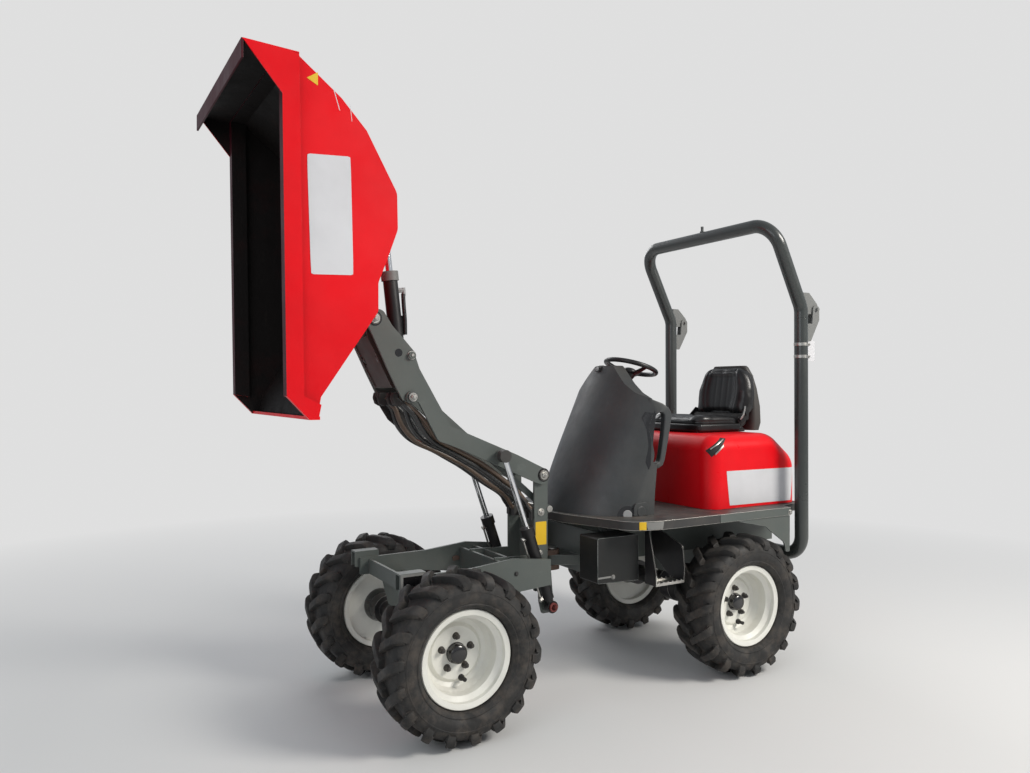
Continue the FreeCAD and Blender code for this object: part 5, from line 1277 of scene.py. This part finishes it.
def make_frame_fittings():
    """Rests' frames and the painted shade in their hollows, a lump inside the far rail, and small bolts."""
    for hand, side in ((1, "left"), (-1, "right")):
        bm = bmesh.new()
        outer = [(937, 646), (1061, 646), (1061, 720), (937, 720)]
        inner = [(950, 646.5), (1048, 646.5), (1048, 708), (950, 708)]
        loop_plate(bm, outer, inner, hand * 331, hand * 335)
        make_piece(f"rest_frame_{side}", bm, "front_frame", "worn_bright", 30)
        bm = bmesh.new()
        # Painted shade: a black sheet in the rest's hollow
        prism(bm, [at(x, hand * 331.8, z) for x, z in inner], (0, hand * 0.0010, 0))
        make_piece(f"rest_hollow_shade_{side}", bm, "front_frame", "hub_black", 30)
    bm = bmesh.new()
    prism(bm, [at(x, -250, z) for x, z in ((474, 622), (512, 618), (518, 640), (496, 648), (476, 642))],
          (0, -0.010, 0))
    bevelled(bm, 0.003)
    make_piece("rail_lump", bm, "front_frame", "rust", 30)
    bm = bmesh.new()
    for x, z in ((420, 640), (620, 560), (760, 560)):
        for hand in (1, -1):
            hex_nut(bm, at(x, hand * 272, z), (0, hand, 0), 0.018, 0.006)
    make_piece("rail_bolts", bm, "front_frame", "iron", 30)


# Nodes that need more than softened edges

def skip_face(face):
    """Which of the skip's finishes a face takes: 0 outside, 2 inside, dark with grime and painted shade, 3 the front
    of its rim, dark as painted shade.
    """
    centre = face.calc_center_median()
    normal = face.normal
    hollow = at(1448, 0, 2189)
    if normal.x > 0.8 and centre.x > at(1600, 0, 0).x:
        return 3
    if abs(normal.y) > 0.5:
        return 2 if normal.y * centre.y < 0 else 0
    return 2 if normal.dot(hollow - centre) > 0 and abs(centre.y) < 0.515 else 0


def tread_face(face):
    """The toothed tread is worn bright."""
    centre = face.calc_center_median()
    return 2 if centre.z < 0.566 and face.normal.z > -0.5 and abs(face.normal.x) < 0.95 else 0


def top_face(face):
    """Upward faces of the deck get the trodden finish."""
    return 2 if face.normal.z > 0.8 else 0


def hinge_face(face):
    """The fold hinge's plates behind the posts are dusty grey."""
    centre = face.calc_center_median()
    return 2 if centre.x < at(-1353, 0, 0).x and centre.z > 1.84 else 0


def pocket_shade_face(face):
    """The hollow behind the grab handle is black as painted shade."""
    centre = face.calc_center_median()
    low = at(-412, 0, 1120)
    high = at(-312, 0, 1455)
    inside = low.x < centre.x < high.x and low.z < centre.z < high.z
    floor = abs(face.normal.y) > 0.98 and 0.362 < abs(centre.y) < 0.382
    wall = face.normal.x < -0.85 and 0.374 < abs(centre.y) < 0.412
    return 2 if inside and (floor or wall) else 0


def near(face, place, reach):
    centre = face.calc_center_median()
    return (Vector((centre.x, 0, centre.z)) - place).length < reach


def lift_eye_face(face):
    return 2 if near(face, at(455, 0, 1222), 0.048) else 0


def tilt_eye_face(face):
    return 2 if near(face, at(1025, 0, 2519), 0.045) else 0


def gland_face(face):
    """The tilt barrel's head is bare grey."""
    return 2 if face.calc_center_median().z > 2.09 else 0


def ear_face(face):
    """The articulation ears are rubbed and rusty."""
    centre = face.calc_center_median()
    return 2 if centre.x < at(146, 0, 0).x and centre.z < 0.75 else 0


SPECIAL = {
    "skip": {"sort_faces": skip_face, "extra": ("skip_inside", "skip_rim_shade"), "width": 0.0025},
    "deck": {"sort_faces": top_face, "extra": ("deck_plate",), "edge": "bright", "width": 0.0015,
             "look": "iron"},
    "steps": {"edge": "bright", "width": 0.0012, "sort_faces": tread_face, "extra": ("steel",)},
    "carrier": {"look": "plate_brown_and_shade", "edge": "grey_paint"},
    "rops_lower": {"look": "tube_grey", "edge": "tube_grey", "sort_faces": hinge_face, "extra": ("dull_grey",)},
    "rops_upper": {"look": "tube_grey", "edge": "tube_grey", "sort_faces": hinge_face, "extra": ("dull_grey",)},
    "side_tanks": {"look": "tank_grey_and_shade", "edge": "grey_paint"},
    "hood": {"width": 0.003, "segments": 3},
    # The cowl's pocket takes painted shade
    "cowl": {"width": 0.004, "segments": 3, "sort_faces": pocket_shade_face, "extra": ("hub_black",)},
    "arm_pins": {"look": "iron"},
    "lift_rods": {"sort_faces": lift_eye_face, "extra": ("iron",)},
    "tilt_rod": {"sort_faces": tilt_eye_face, "extra": ("iron",)},
    "tilt_barrel": {"sort_faces": gland_face, "extra": ("dull_grey",)},
    "mast": {"sort_faces": ear_face, "extra": ("rust",)},
    "hub_front_left": {"look": "hub_black"},
    "hub_front_right": {"look": "hub_black"},
    "hub_rear_left": {"look": "hub_black"},
    "hub_rear_right": {"look": "hub_black"},
}


BACKDROP = (0.74, 0.74, 0.74)


def setup_stage():
    bm = bmesh.new()
    bmesh.ops.create_grid(bm, x_segments=1, y_segments=1, size=60)
    mesh = bpy.data.meshes.new("floor")
    bm.to_mesh(mesh)
    bm.free()
    floor = link("floor", mesh)
    shader = Shader("floor", (0.70, 0.70, 0.69), 0.9)
    floor.data.materials.append(shader.material)
    nodes = shader.nodes
    links = shader.links
    # Far from the machine the floor takes the backdrop's tone, so that no horizon shows
    reach = nodes.new("ShaderNodeVectorMath")
    reach.operation = "LENGTH"
    links.new(shader.coords, reach.inputs[0])
    far = shader.ramp(reach.outputs["Value"], 2.4, 6.5)
    tone = nodes.new("ShaderNodeEmission")
    tone.inputs["Color"].default_value = (*BACKDROP, 1)
    path = nodes.new("ShaderNodeLightPath")
    blend = nodes.new("ShaderNodeMixShader")
    links.new(shader.math("MULTIPLY", far, path.outputs["Is Camera Ray"]), blend.inputs[0])
    links.new(shader.main.outputs[0], blend.inputs[1])
    links.new(tone.outputs[0], blend.inputs[2])
    links.new(blend.outputs[0], nodes["Material Output"].inputs["Surface"])

    world = bpy.data.worlds.new("studio")
    bpy.context.scene.world = world
    world.use_nodes = True
    nodes = world.node_tree.nodes
    links = world.node_tree.links
    light = nodes["Background"]
    light.inputs["Color"].default_value = (0.90, 0.94, 1.0, 1)
    light.inputs["Strength"].default_value = 0.46
    seen = nodes.new("ShaderNodeBackground")
    seen.inputs["Color"].default_value = (*BACKDROP, 1)
    seen.inputs["Strength"].default_value = 1.0
    path = nodes.new("ShaderNodeLightPath")
    either = nodes.new("ShaderNodeMath")
    either.operation = "MAXIMUM"
    links.new(path.outputs["Is Camera Ray"], either.inputs[0])
    links.new(path.outputs["Is Transmission Ray"], either.inputs[1])
    mix = nodes.new("ShaderNodeMixShader")
    links.new(either.outputs[0], mix.inputs[0])
    links.new(light.outputs[0], mix.inputs[1])
    links.new(seen.outputs[0], mix.inputs[2])
    links.new(mix.outputs[0], nodes["World Output"].inputs["Surface"])


def area_lamp(name, place, target, size, power, color=(1, 1, 1)):
    data = bpy.data.lights.new(name, "AREA")
    data.shape = "RECTANGLE"
    data.size = size[0]
    data.size_y = size[1]
    data.energy = power
    data.color = color
    lamp = bpy.data.objects.new(name, data)
    bpy.context.scene.collection.objects.link(lamp)
    aim = (Vector(target) - Vector(place)).to_track_quat("-Z", "Y")
    lamp.matrix_world = Matrix.Translation(place) @ aim.to_matrix().to_4x4()


def setup_lights():
    area_lamp("key", (-4.0, 5.4, 5.2), (0, 0, 1.0), (2.4, 2.4), 470, (1.0, 0.96, 0.90))
    area_lamp("fill", (5.5, 3.2, 3.4), (0.3, 0, 1.2), (4.0, 3.0), 60, (0.92, 0.96, 1.0))
    area_lamp("back", (-1.0, -5.5, 4.5), (0, 0, 1.2), (4.0, 2.5), 90)


setup_camera()
make_materials()
setup_stage()
setup_lights()
for node in sorted(NODES):
    if node.startswith("tyre"):
        make_tyre(node)
    elif node not in ("seat_cushion", "seat_back", "steering_wheel", "grab_handles"):
        soften(node, **SPECIAL.get(node, {}))
    if node.startswith("rim"):
        add_valve(node)
    if node.startswith("hub"):
        add_wheel_nuts(node)
make_seat_cushion()
make_seat_back()
make_seat_fittings()
make_labels()
make_scratches()
make_tag()
make_hood_details()
make_bolts()
make_hoses()
make_tilt_fittings()
make_lift_fittings()
make_wings()
make_steering_wheel()
make_cowl_details()
make_skip_lip()
make_frame_fittings()

bpy.context.scene.view_settings.view_transform = "Standard"
bpy.context.view_layer.update()
